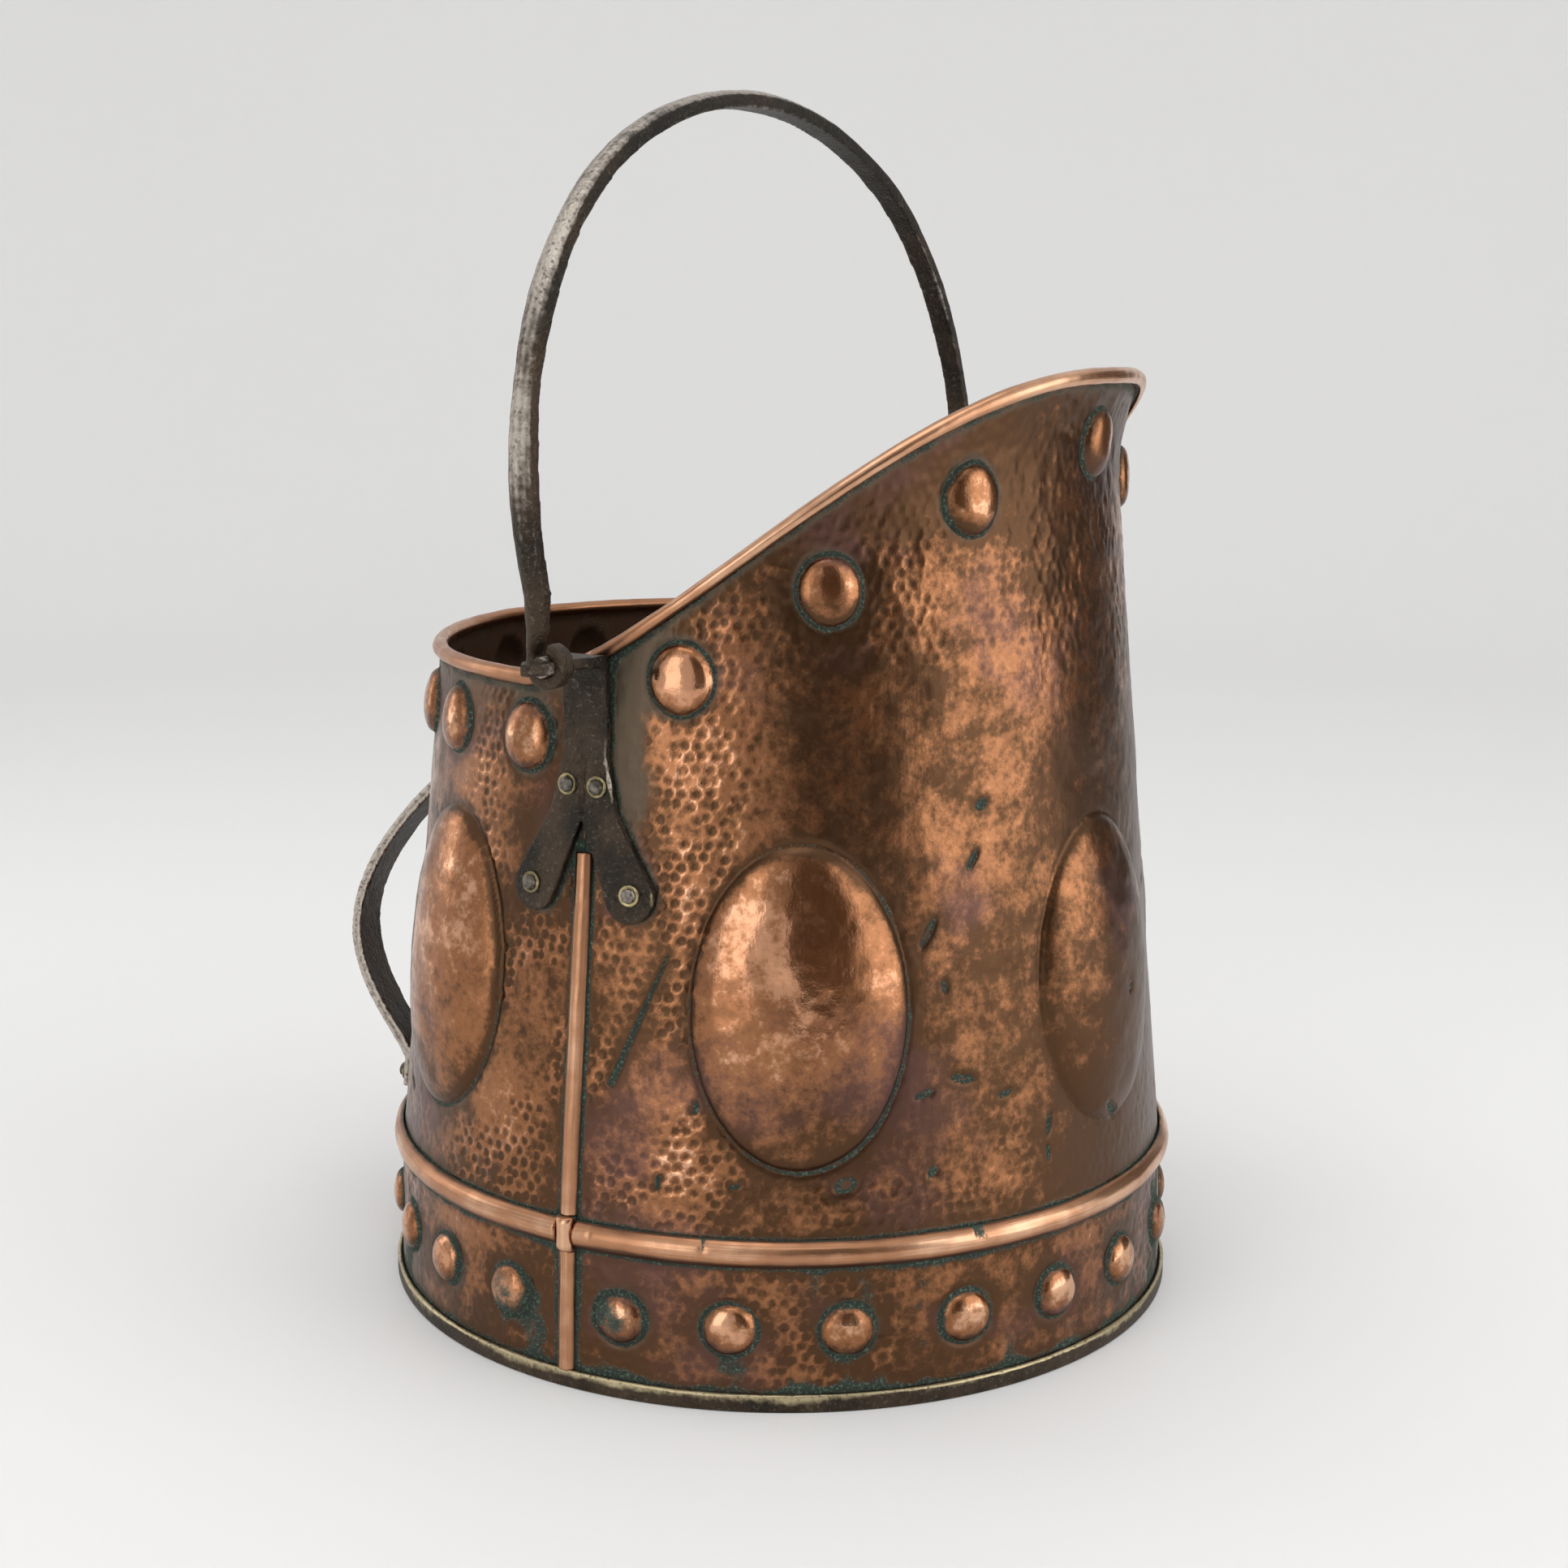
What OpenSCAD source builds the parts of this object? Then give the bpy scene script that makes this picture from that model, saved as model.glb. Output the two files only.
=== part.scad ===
// Hammered copper coal scuttle with a swinging iron bail and an iron back handle.
// +X is the pouring direction, +Y the left side and +Z up. The origin is the centre of the foot's resting face.

/* [Body] */
// Outer radius of the body where it meets the foot hoop
foot_r = 170; // [140:1:200]
// How much smaller the body's radius is under the waist bead than at the foot
waist_in = 2; // [0:0.5:6]
// Height of the centre line of the waist bead
waist_z = 63; // [52:1:80]
// Radius that the upper body loses for each millimetre of height
taper = 0.094; // [0.05:0.002:0.12]
// Thickness of the copper sheet
sheet_t = 1.2; // [0.9:0.1:1.8]
// Gap left between a piece and the face that it is fixed to
seat_gap = 0.15; // [0.1:0.05:0.25]

/* [Rim] */
// Height of the rim behind the lugs
rim_low_z = 279.5; // [262:0.5:290]
// Height of the rim at the middle of the pouring lip
rim_front_z = 396; // [370:1:420]
// Extra height of the rim at the middle of the back
rim_back_rise = 2; // [0:0.5:8]
// Angle behind the lugs at which the rim starts to climb to the lip
rise_start = 12.5; // [8:0.5:16]
// How softly the climb starts
rise_power = 1.65; // [1.4:0.05:2]
// How early the climb levels off towards the lip
rise_settle = 2.9; // [2.2:0.1:3.4]
// How far the lip flares out at its middle
flare_out = 13; // [6:0.5:18]
// Height of the flared part of the lip
flare_h = 45; // [35:1:60]
// Outer diameter of the rolled edge
roll_d = 6.6; // [5.6:0.1:8]
// Outward shift of the rolled edge from the middle of the sheet
roll_shift = 0.9; // [0.6:0.1:1.2]

/* [Embossing] */
// Width of a large oval boss
oval_w = 84; // [60:1:90]
// Height of a large oval boss
oval_h = 124; // [90:1:130]
// How far a large oval boss stands proud
oval_proud = 10; // [5:0.5:13]
// Height of the centre of the large oval bosses
oval_z = 157; // [145:1:170]
// Diameter of a round boss under the rim
rim_boss_d = 27; // [22:1:28]
// How far a round boss under the rim stands proud
rim_boss_proud = 5.5; // [3:0.5:8]
// Drop from the rim to the centre of a boss at the middle of the lip
front_boss_drop = 30; // [29:1:36]
// Extra drop of a boss on the slope of the lip
front_boss_dip = 10; // [0:1:12]
// Drop from the rim to the centre of a boss round the back
back_boss_drop = 26; // [24:1:30]
// Diameter of a foot boss
foot_boss_d = 21; // [14:1:26]
// How far a foot boss stands proud
foot_boss_proud = 4.5; // [2.5:0.5:6]

/* [Trim] */
// Height of the half-round waist bead
bead_h = 11.5; // [8:0.5:14]
// How far the waist bead stands proud
bead_proud = 4; // [2.5:0.5:5]
// Width of the half-round strips over the side seams
strip_w = 8; // [6:0.5:9]
// How far the seam strips stand proud
strip_proud = 3; // [2:0.5:3.5]
// Length of the collar where a seam strip crosses the waist bead
collar_h = 14; // [13:0.5:18]
// Height of the hoop round the foot
hoop_h = 7; // [5:0.5:10]
// Thickness of the hoop's wall
hoop_t = 2.2; // [1.5:0.1:3]
// Width of the hoop's turned-in lip, which carries the base plate
hoop_lip_w = 14; // [8:1:20]
// Thickness of the base plate
base_t = 1.5; // [1:0.1:2.5]

/* [Lugs] */
// Width of the lug strap
lug_w = 20; // [16:1:22]
// Thickness of the lug strap
lug_t = 4; // [3:0.5:5]
// Height of the lowest point of the lug's legs
lug_bottom_z = 187; // [180:1:195]
// Height at which the lug is slit into two legs
lug_split_z = 250; // [246:1:256]
// Height at which the legs part
lug_crotch_z = 226; // [222:1:230]
// Width of the two legs together where they part
lug_crotch_w = 31; // [26:1:34]
// Distance from the centre line to the rivet at the end of a leg
leg_spread = 22; // [19:0.5:26]
// Width of the rounded end of a leg
leg_end_w = 20; // [16:1:22]
// Distance from the centre line to an upper rivet
upper_rivet_x = 6.5; // [5.5:0.5:7]
// Drop from the split to the upper rivets
upper_rivet_drop = 12; // [9:0.5:15]
// Diameter of a rivet's shank
shank_d = 4.4; // [3.5:0.1:5]
// Diameter of a rivet's head
head_d = 8.6; // [7:0.2:10]
// Height of a rivet's head
head_h = 3; // [2:0.2:4]
// Thickness of the burr washer inside each rivet
burr_t = 1.4; // [1:0.1:2]

/* [Bail] */
// Diameter of the round neck on which the bail's eye turns
neck_d = 8; // [6.5:0.5:9]
// Clearance round the neck inside the bail's eye
neck_gap = 0.08; // [0.04:0.01:0.1]
// Distance from the body's wall out to the middle of the bail's eye
tongue_len = 29; // [27:0.5:34]
// Drop from the rim to the middle of the tongue
pivot_drop = 3; // [1:0.5:3.5]
// Width of the bail's eye along the neck
eye_w = 8; // [6:0.5:9]
// Thickness of the ring of the bail's eye
eye_t = 4.6; // [3.5:0.1:6]
// Length of the leaf that holds the eye on its neck
leaf_len = 12; // [8:1:16]
// How far the bail at its widest stands outside its eyes
bail_bulge = 9.5; // [5:0.5:16]
// Height of the bail's widest point above the pivot
bail_wide_h = 60; // [48:1:66]
// Height of the middle of the bar at the top above the pivot
bail_top_h = 217.5; // [212:0.5:235]
// Radius of the bail's shoulders as a share of their rise
shoulder_share = 0.95; // [0.86:0.005:0.955]
// Width of the bail's bar
bar_w = 10; // [7:0.5:12]
// Thickness of the bail's bar
bar_t = 8; // [7:0.5:11]
// Angle at which the bail leans back from upright as drawn
bail_lean = 4; // [0:0.5:8]

/* [Back handle] */
// Angle of the handle's lower end behind the right-hand lug
grip_low_angle = 67; // [60:1:90]
// Angle of the handle's upper end behind the right-hand lug
grip_top_angle = 84; // [75:1:95]
// Width of the back handle's strap
grip_w = 24; // [18:1:28]
// Thickness of the back handle's strap
grip_t = 4.6; // [3.5:0.1:6]
// Distance from the body's wall to the outside of the grip
grip_reach = 42; // [32:1:48]
// Height of the grip's outermost point
grip_mid_z = 148; // [142:1:154]
// Height at which the grip leaves the body at the top
grip_top_z = 214; // [208:1:216]
// Height at which the grip returns to the body at the bottom
grip_low_z = 85; // [84:1:92]
// Length of the strap's flat tab on the body at each end
tab_len = 14; // [12:0.5:14.5]

/* [Hidden] */
$fn = 96;
eps = 0.01;

// Finishes
copper = "#a8653f";
copper_bright = "#d09063";
copper_inside = "#6b4430";
iron = "#3c3733";
brass_worn = "#8d8256";

// Sheet grid
wall_rows = 22;
roll_rows = 8;
half_columns = 47;
wire_steps = 2 * half_columns;
wire_sides = 8;
cap_sides = 16;
cap_sink = sheet_t * 1.15;
// Turn that keeps the corners of a cap off the edges of the sheet's grid
cap_turn = 7;

// Places of the embossed bosses, as angles ahead of the right-hand lug
front_ovals = [32, 84, 138];
back_ovals = [-30, -150];
front_rim_bosses = [14.3, 36.1, 59.2, 90.1, 119.6, 144.5, 166.2];
back_rim_bosses = [-12, -32.5, -50.5, -70.5, -90, -110.5, -129.5, -147.5, -168];
front_foot_bosses = [8, 23, 38.5, 55, 70.5, 86, 103, 119, 135, 151, 167];
back_foot_bosses = [14, 30, 46, 62, 78, 94, 110, 126, 141, 155, 170];

// Derived sizes
waist_r = foot_r - waist_in;
roll_r = roll_d / 2;
wire_r = roll_r - sheet_t - seat_gap;
hoop_lip_t = 1;
band_bottom_z = hoop_lip_t + seat_gap;
upper_rivet_z = lug_split_z - upper_rivet_drop;
strip_top_z = lug_crotch_z - 1.75 * strip_w;
slit_w = 0.6;
leg_rivet_z = lug_bottom_z + leg_end_w * 0.55;
hole_reach = 4 * lug_t;
// Height of the bail's pivot, at the middle of the tongue's thickness
pivot_z = rim_z(90) - pivot_drop;
eye_y = wall_r(pivot_z) + tongue_len;
eye_r = neck_d / 2 + neck_gap;
eye_play = 0.4;
leaf_w = neck_d * 1.625;
tongue_t = lug_t * 1.125;
bail_half_w = eye_y + bail_bulge;
shoulder_r = (bail_top_h - bail_wide_h) * shoulder_share;
leg_h = 26;
top_steps = 10;
shoulder_steps = 18;
hook_start = 148;
hook_end = 440;
tongue_end_y = eye_y - eye_w / 2 - eye_play;
leaf_start_y = eye_y + eye_w / 2 + eye_play;
slope = atan(taper);

// Shape of the body ------------------------------------------------------------------------------

function clamp01(t) = min(1, max(0, t));

// Angle ahead of the nearer lug, for a direction measured from the pouring lip
function ahead(a) = 90 - abs(a > 180 ? a - 360 : a);

// Outer radius of the plain wall at height z
function wall_r(z) = z < waist_z
    ? foot_r + (waist_r - foot_r) * z / waist_z
    : waist_r - taper * (z - waist_z);

// Height of the top of the rolled edge
function rim_z(a) =
    let (f = ahead(a),
         ease = pow(clamp01((f + rise_start) / (90 + rise_start)), rise_power),
         climb = 1 - pow(1 - ease, rise_settle),
         back = clamp01((-f - rise_start) / (90 - rise_start)))
    rim_low_z + (rim_front_z - rim_low_z) * climb + rim_back_rise * back * back;

// Outward flare of the lip
function flare(a, z) =
    let (side = clamp01(sin(ahead(a))), up = clamp01((z - rim_z(a) + flare_h) / flare_h))
    flare_out * pow(side, 1.2) * up * up;

// Height of one oval boss above the wall at direction a and height z
function oval(a, z, at) =
    let (away = a - (at - 90),
         turn = away > 180 ? away - 360 : (away < -180 ? away + 360 : away),
         u = turn * PI / 180 * wall_r(oval_z) / (oval_w / 2),
         v = (z - oval_z) / (oval_h / 2))
    oval_proud * pow(max(0, 1 - u * u - v * v), 0.6);

function relief(a, z, places) = max([for (at = places) oval(a, z, at)]);

// One column of a sheet as pairs of points: up the wall and round the wire, [inner or rolled face, other face]
function sheet_column(a, places) =
    let (wire_z = rim_z(a) - roll_r,
         top_z = wire_z - roll_r,
         top_r = roll_centre(a),
         low_z = waist_z + seat_gap / 2)
    concat(
        [for (i = [0 : wall_rows])
            let (z = low_z + (top_z - low_z) * i / wall_rows,
                 r = wall_r(z) + flare(a, z) + relief(a, z, places))
            [[r - sheet_t, z], [r, z]]],
        [for (i = [0 : roll_rows])
            let (t = 225 - 300 * i / roll_rows, q = roll_r - sheet_t)
            [[top_r + roll_r * cos(t), wire_z + roll_r * sin(t)], [top_r + q * cos(t), wire_z + q * sin(t)]]]
    );

// Radius of the middle of the rolled edge
function roll_centre(a) =
    let (z = rim_z(a) - roll_r)
    wall_r(z) + flare(a, z) - sheet_t / 2 + roll_shift;

// A strip of two triangles between the pairs i and i + 1 of corners
function quad(p, q, r, s) = [[p, r, q], [p, s, r]];

// A solid skinned over equal ribbon sections, each a list of pairs of points
module ribbon_skin(sections) {
    n = len(sections[0]);
    m = len(sections);
    points = [for (s = sections) for (p = s) each p];
    walls = [for (i = [0 : m - 2]) for (j = [0 : n - 2])
        let (a = 2 * (i * n + j), b = a + 2 * n)
        each concat(quad(a, a + 2, b + 2, b), quad(a + 1, b + 1, b + 3, a + 3))];
    rims = [for (i = [0 : m - 2])
        let (a = 2 * i * n, b = a + 2 * n, c = a + 2 * n - 2, d = b + 2 * n - 2)
        each concat(quad(a, b, b + 1, a + 1), quad(c, c + 1, d + 1, d))];
    e = 2 * (m - 1) * n;
    ends = [for (j = [0 : n - 2])
        each concat(quad(2 * j, 2 * j + 1, 2 * j + 3, 2 * j + 2),
            quad(e + 2 * j, e + 2 * j + 2, e + 2 * j + 3, e + 2 * j + 1))];
    polyhedron(points = points, faces = concat(walls, rims, ends), convexity = 8);
}

function turned(p, a) = [p[0] * cos(a), p[0] * sin(a), p[1]];

module sheet_half(start, places) {
    ribbon_skin([for (i = [0 : half_columns])
        let (a = start + 180 * i / half_columns)
        [for (pair = sheet_column(a, places)) [turned(pair[0], a), turned(pair[1], a)]]]);
}

// Puts children on the wall at direction a and height z, with their +Z pointing out of it
module on_wall(a, z) {
    rotate([0, 0, a])
        translate([wall_r(z), 0, z])
            rotate([0, 90 - slope, 0])
                children();
}

// A round cap of base diameter d and height h on a base sunk into the sheet
module cap(d, h) {
    hull()
        rotate([0, 0, cap_turn])
            rotate_extrude($fn = cap_sides)
                polygon([
                    [0, -cap_sink],
                    [d * 0.52, -cap_sink],
                    [d * 0.42, h * 0.5],
                    [d * 0.24, h * 0.88],
                    [0, h]
                ]);
}

module sheet(start, ovals, bosses, rivets) {
    difference() {
        union() {
            sheet_half(start, ovals);
            for (at = bosses)
                rim_boss(at, 0);
        }
        for (at = bosses)
            rim_boss(at, 1);
        for (r = rivets)
            at_rivet(r)
                rivet_hole();
    }
}

// The outside of a rim boss, or with inner = 1 the hollow behind it
module rim_boss(at, inner) {
    a = at - 90;
    z = rim_z(a) - (at > 0 ? front_boss_drop + front_boss_dip * pow(sin(2 * at), 2) : back_boss_drop);
    step = 1;
    lean = atan(taper - (flare(a, z + step) - flare(a, z - step)) / (2 * step));
    rotate([0, 0, a])
        translate([wall_r(z) + flare(a, z) - inner * sheet_t, 0, z])
            rotate([0, 90 - lean, 0])
                cap(rim_boss_d - 2 * inner * sheet_t, rim_boss_proud);
}

module rivet_hole() {
    rotate([0, 0, cap_turn])
        translate([0, 0, -hole_reach])
            cylinder(d = shank_d + 0.2, h = 2 * hole_reach, $fn = cap_sides);
}

module front_sheet() {
    color(copper)
        sheet(-90, front_ovals, front_rim_bosses, lug_rivet_places(1));
}

module back_sheet() {
    color(copper)
        difference() {
            sheet(90, back_ovals, back_rim_bosses, lug_rivet_places(-1));
            handle_rivet_frames()
                rivet_hole();
        }
}

// The iron wire that the rim is rolled round
module rim_wire() {
    n = wire_sides;
    points = [for (i = [0 : wire_steps - 1])
        let (a = 90 + 360 * i / wire_steps)
        for (j = [0 : n - 1])
            turned([roll_centre(a) + wire_r * cos(360 * j / n), rim_z(a) - roll_r + wire_r * sin(360 * j / n)], a)];
    faces = [for (i = [0 : wire_steps - 1]) for (j = [0 : n - 1])
        let (k = (j + 1) % n, next = (i + 1) % wire_steps)
        each quad(i * n + j, next * n + j, next * n + k, i * n + k)];
    color(iron)
        polyhedron(points = points, faces = faces, convexity = 8);
}

// Foot -------------------------------------------------------------------------------------------

// A turned dome on a flat base sunk into the sheet
module dome(d, h) {
    rotate_extrude()
        polygon([
            [0, -sheet_t * 0.7],
            [d * 0.5, -sheet_t * 0.7],
            [d * 0.5, 0],
            [d * 0.42, h * 0.5],
            [d * 0.24, h * 0.88],
            [0, h]
        ]);
}

module foot_band(start, bosses) {
    band_z = (hoop_h + waist_z - bead_h / 2) / 2;
    low = band_bottom_z;
    high = waist_z - seat_gap / 2;
    difference() {
        union() {
            rotate([0, 0, start])
                rotate_extrude(angle = 180)
                    polygon([
                        [wall_r(low) - sheet_t, low],
                        [wall_r(low), low],
                        [wall_r(high), high],
                        [wall_r(high) - sheet_t, high]
                    ]);
            for (a = bosses)
                on_band(start + a, band_z)
                    dome(foot_boss_d, foot_boss_proud);
        }
        for (a = bosses)
            on_band(start + a, band_z)
                translate([0, 0, -sheet_t])
                    dome(foot_boss_d - 2 * sheet_t, foot_boss_proud);
    }
}

module on_band(a, z) {
    rotate([0, 0, a])
        translate([wall_r(z), 0, z])
            rotate([0, 90, 0])
                children();
}

module foot_band_front() {
    color(copper)
        foot_band(-90, front_foot_bosses);
}

module foot_band_back() {
    color(copper)
        foot_band(90, back_foot_bosses);
}

module foot_hoop() {
    inner_r = foot_r + seat_gap;
    color(iron)
        rotate_extrude()
            polygon([
                [foot_r - hoop_lip_w, 0],
                [inner_r + hoop_t - 0.6, 0],
                [inner_r + hoop_t, 0.6],
                [inner_r + hoop_t, hoop_h - 0.8],
                [inner_r + hoop_t - 0.8, hoop_h],
                [inner_r, hoop_h],
                [inner_r, hoop_lip_t],
                [foot_r - hoop_lip_w, hoop_lip_t]
            ]);
}

module base_plate() {
    color(copper_inside)
        translate([0, 0, hoop_lip_t])
            cylinder(r = foot_r - sheet_t - seat_gap - 0.1, h = base_t);
}

// Trim -------------------------------------------------------------------------------------------

// Flat-backed half-round section: w wide along Y, h proud along X
module half_round(w, h) {
    r = (w * w / 4 + h * h) / (2 * h);
    intersection() {
        translate([h - r, 0])
            circle(r = r);
        translate([0, -w])
            square([2 * w, 2 * w]);
    }
}

module waist_bead(start) {
    back_r = wall_r(waist_z - bead_h / 2) + seat_gap;
    stop = asin((strip_w / 2 + 2 * seat_gap) / back_r);
    rotate([0, 0, start + stop])
        rotate_extrude(angle = 180 - 2 * stop)
            translate([back_r, waist_z])
                half_round(bead_h, bead_proud);
}

module waist_bead_front() {
    color(copper_bright)
        waist_bead(-90);
}

module waist_bead_back() {
    color(copper_bright)
        waist_bead(90);
}

// A half-round strip up the side of the body from z0 to z1
module strip(side, z0, z1) {
    r0 = wall_r(z0) + seat_gap;
    r1 = wall_r(z1) + seat_gap;
    lean = atan((r0 - r1) / (z1 - z0));
    rotate([0, 0, side * 90])
        translate([r0, 0, z0])
            rotate([0, -lean, 0])
                linear_extrude(height = (z1 - z0) / cos(lean))
                    half_round(strip_w, strip_proud);
}

module seam_strip(side) {
    color(copper_bright)
        strip(side, waist_z + collar_h / 2 + seat_gap, strip_top_z);
}

module foot_strip(side) {
    color(copper_bright)
        strip(side, hoop_h + seat_gap, waist_z - collar_h / 2 - seat_gap);
}

// The collar over the crossing of bead and strip
module collar(side) {
    back_r = wall_r(waist_z - collar_h / 2) + seat_gap;
    color(copper_bright)
        rotate([0, 0, side * 90])
            translate([back_r, 0, waist_z - collar_h / 2])
                linear_extrude(height = collar_h)
                    half_round(strip_w, bead_proud + 1);
}

module seam_strip_right() seam_strip(-1);
module seam_strip_left() seam_strip(1);
module foot_strip_right() foot_strip(-1);
module foot_strip_left() foot_strip(1);
module collar_right() collar(-1);
module collar_left() collar(1);

// Lugs -------------------------------------------------------------------------------------------

// Places of the rivets of both lugs that pass through one sheet: [side, x, z]
function lug_rivet_places(way) = [for (side = [-1, 1])
    each [[side, way * upper_rivet_x, upper_rivet_z], [side, way * leg_spread, leg_rivet_z]]];

// The plate of the lug seen square on, with two legs that spread round the seam strip
module lug_outline() {
    leg_r = leg_end_w / 2;
    leg_w = (lug_crotch_w - slit_w) / 2;
    translate([-lug_w / 2, lug_split_z - 1])
        square([lug_w, 23]);
    for (s = [-1, 1]) {
        hull() {
            translate([s * leg_spread, leg_rivet_z - 1])
                circle(r = leg_r, $fn = 32);
            translate([s * (slit_w + leg_w) / 2, lug_crotch_z])
                square([leg_w, 2], center = true);
        }
        polygon([
            [s * slit_w / 2, lug_crotch_z],
            [s * lug_crotch_w / 2, lug_crotch_z],
            [s * lug_w / 2, lug_split_z],
            [s * slit_w / 2, lug_split_z]
        ]);
    }
}

// A slice of the conical wall, from its face outwards
module wall_shell(gap, t, z0, z1) {
    rotate_extrude()
        polygon([
            [wall_r(z0) + gap, z0],
            [wall_r(z0) + gap + t, z0],
            [wall_r(z1) + gap + t, z1],
            [wall_r(z1) + gap, z1]
        ]);
}

// Side view of the strap above the legs: up the wall, clear of the rolled edge and out to the tongue
module lug_side_view() {
    low_z = lug_split_z - 3;
    bend_z = lug_split_z + 12;
    low = wall_r(low_z) + seat_gap;
    bend = wall_r(bend_z) + seat_gap;
    roll_out = wall_r(pivot_z) - sheet_t / 2 + roll_shift + roll_r + 2 * seat_gap;
    under = pivot_z - tongue_t / 2;
    over = pivot_z + tongue_t / 2;
    polygon([
        [low + 0.5, low_z],
        [low + lug_t, low_z],
        [bend + lug_t, bend_z],
        [roll_out + lug_t - 0.4, under - 3],
        [roll_out + lug_t + 2, under],
        [roll_out + lug_t + 8, under],
        [roll_out + lug_t + 8, over],
        [roll_out + 2.5, over],
        [roll_out, over - 2.5],
        [roll_out, under - 2],
        [bend + 0.4, bend_z]
    ]);
}

module lug(side) {
    root_y = wall_r(pivot_z) + lug_t + 6;
    difference() {
        union() {
            intersection() {
                rotate([90, 0, side * 90 + 90])
                    translate([0, 0, foot_r / 2])
                        linear_extrude(height = foot_r / 2)
                            lug_outline();
                wall_shell(seat_gap, lug_t, lug_bottom_z - 5, lug_split_z + 10);
            }
            rotate([0, 0, side * 90])
                rotate([90, 0, 0])
                    translate([0, 0, -lug_w / 2])
                        linear_extrude(height = lug_w)
                            lug_side_view();
            // The tongue, drawn in from the strap's width to the neck
            translate([0, 0, pivot_z - tongue_t / 2])
                linear_extrude(height = tongue_t)
                    polygon([
                        [-lug_w / 2, side * root_y],
                        [lug_w / 2, side * root_y],
                        [neck_d / 2 + 1, side * tongue_end_y],
                        [-neck_d / 2 - 1, side * tongue_end_y]
                    ]);
            // The round neck and the leaf that keeps the eye on it
            translate([0, side * (tongue_end_y - 4), pivot_z])
                rotate([-side * 90, 0, 0])
                    cylinder(d = neck_d, h = leaf_start_y - tongue_end_y + 6);
            translate([0, 0, pivot_z - tongue_t / 2])
                linear_extrude(height = tongue_t)
                    polygon([
                        [-leaf_w / 2 + 1, side * leaf_start_y],
                        [leaf_w / 2 - 1, side * leaf_start_y],
                        [leaf_w / 2, side * (leaf_start_y + leaf_len * 0.3)],
                        [1.5, side * (leaf_start_y + leaf_len)],
                        [-1.5, side * (leaf_start_y + leaf_len)],
                        [-leaf_w / 2, side * (leaf_start_y + leaf_len * 0.3)]
                    ]);
        }
        for (way = [-1, 1])
            for (r = lug_rivet_places(way))
                if (r[0] == side)
                    at_rivet(r)
                        translate([0, 0, -hole_reach])
                            cylinder(d = shank_d + 0.2, h = 2 * hole_reach);
    }
}

// Puts children on the wall at a lug rivet, with +Z pointing out of it
module at_rivet(r) {
    on_wall(r[0] * (90 - asin(r[1] / wall_r(r[2]))), r[2])
        children();
}

// A rivet: faceted head over a plate of thickness t, shank through to the burr
module rivet(t) {
    translate([0, 0, t + seat_gap]) {
        cylinder(d = head_d, h = head_h * 0.35);
        translate([0, 0, head_h * 0.35])
            cylinder(d1 = head_d, d2 = head_d * 0.55, h = head_h * 0.65, $fn = 8);
    }
    translate([0, 0, -sheet_t - burr_t - 2])
        cylinder(d = shank_d, h = t + sheet_t + burr_t + 2 + seat_gap + eps);
}

// The washer on the inside end of a rivet, its edge clear of the curved sheet by gap
module burr(gap) {
    translate([0, 0, -sheet_t - burr_t - gap])
        difference() {
            cylinder(d = head_d + 1, h = burr_t);
            translate([0, 0, -1])
                cylinder(d = shank_d + 0.1, h = burr_t + 2);
        }
}

module lug_rivets(side) {
    color(brass_worn)
        for (way = [-1, 1])
            for (r = lug_rivet_places(way))
                if (r[0] == side)
                    at_rivet(r)
                        rivet(lug_t);
}

module lug_burrs(side) {
    color(brass_worn)
        for (way = [-1, 1])
            for (r = lug_rivet_places(way))
                if (r[0] == side)
                    at_rivet(r)
                        burr(2 * seat_gap);
}

module lug_right() {
    color(iron)
        lug(-1);
}

module lug_left() {
    color(iron)
        lug(1);
}

module lug_rivets_right() lug_rivets(-1);
module lug_rivets_left() lug_rivets(1);
module lug_burrs_right() lug_burrs(-1);
module lug_burrs_left() lug_burrs(1);

// Bail -------------------------------------------------------------------------------------------

// Middle line of one half of the bail above the pivot, from the top down: [y, z, outward angle]
function bail_half() =
    let (shoulder_y = bail_half_w - shoulder_r,
         rise = bail_top_h - bail_wide_h,
         // The top arc touches both shoulder arcs: its radius follows from that
         top_arc_r = (pow(shoulder_y, 2) + pow(rise, 2) - pow(shoulder_r, 2)) / (2 * (rise - shoulder_r)),
         join = atan2(bail_wide_h - bail_top_h + top_arc_r, shoulder_y),
         low = -asin((bail_wide_h - leg_h) / shoulder_r))
    concat(
        [for (i = [0 : top_steps])
            let (t = 90 + (join - 90) * i / top_steps)
            [top_arc_r * cos(t), bail_top_h - top_arc_r + top_arc_r * sin(t), t]],
        [for (i = [1 : shoulder_steps])
            let (t = join + (low - join) * i / shoulder_steps)
            [shoulder_y + shoulder_r * cos(t), bail_wide_h + shoulder_r * sin(t), t]]
    );

// Section of the bar, flat inside and crowned outside, as pairs of points: width w and thickness t at offset x
function bar_section(place, x, w, t) =
    let (out = [0, cos(place[2]), sin(place[2])], mid = [x, place[0], place[1]])
    [for (f = [-1, -0.6, 0, 0.6, 1])
        [mid + [f * w / 2, 0, 0] - out * t / 2, mid + [f * w / 2, 0, 0] + out * t * (0.5 - 0.3 * f * f)]];

// Sections of one half of the bail: the even bar, then the leg that draws down to the root of the hook
function bail_sections() =
    let (x = -(eye_r + eye_t / 2), line = bail_half())
    concat(
        [for (place = line) bar_section(place, 0, bar_w, bar_t)],
        [bar_section([eye_y + 2.5, leg_h * 0.5, -8], x * 0.5, bar_w * 0.85, bar_t * 0.9),
         bar_section([eye_y + 0.4, leg_h * 0.2, -2], x, eye_t, eye_w - 0.4),
         bar_section([eye_y, -2, 0], x, eye_t - 0.7, eye_w - 0.8)]
    );

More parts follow.
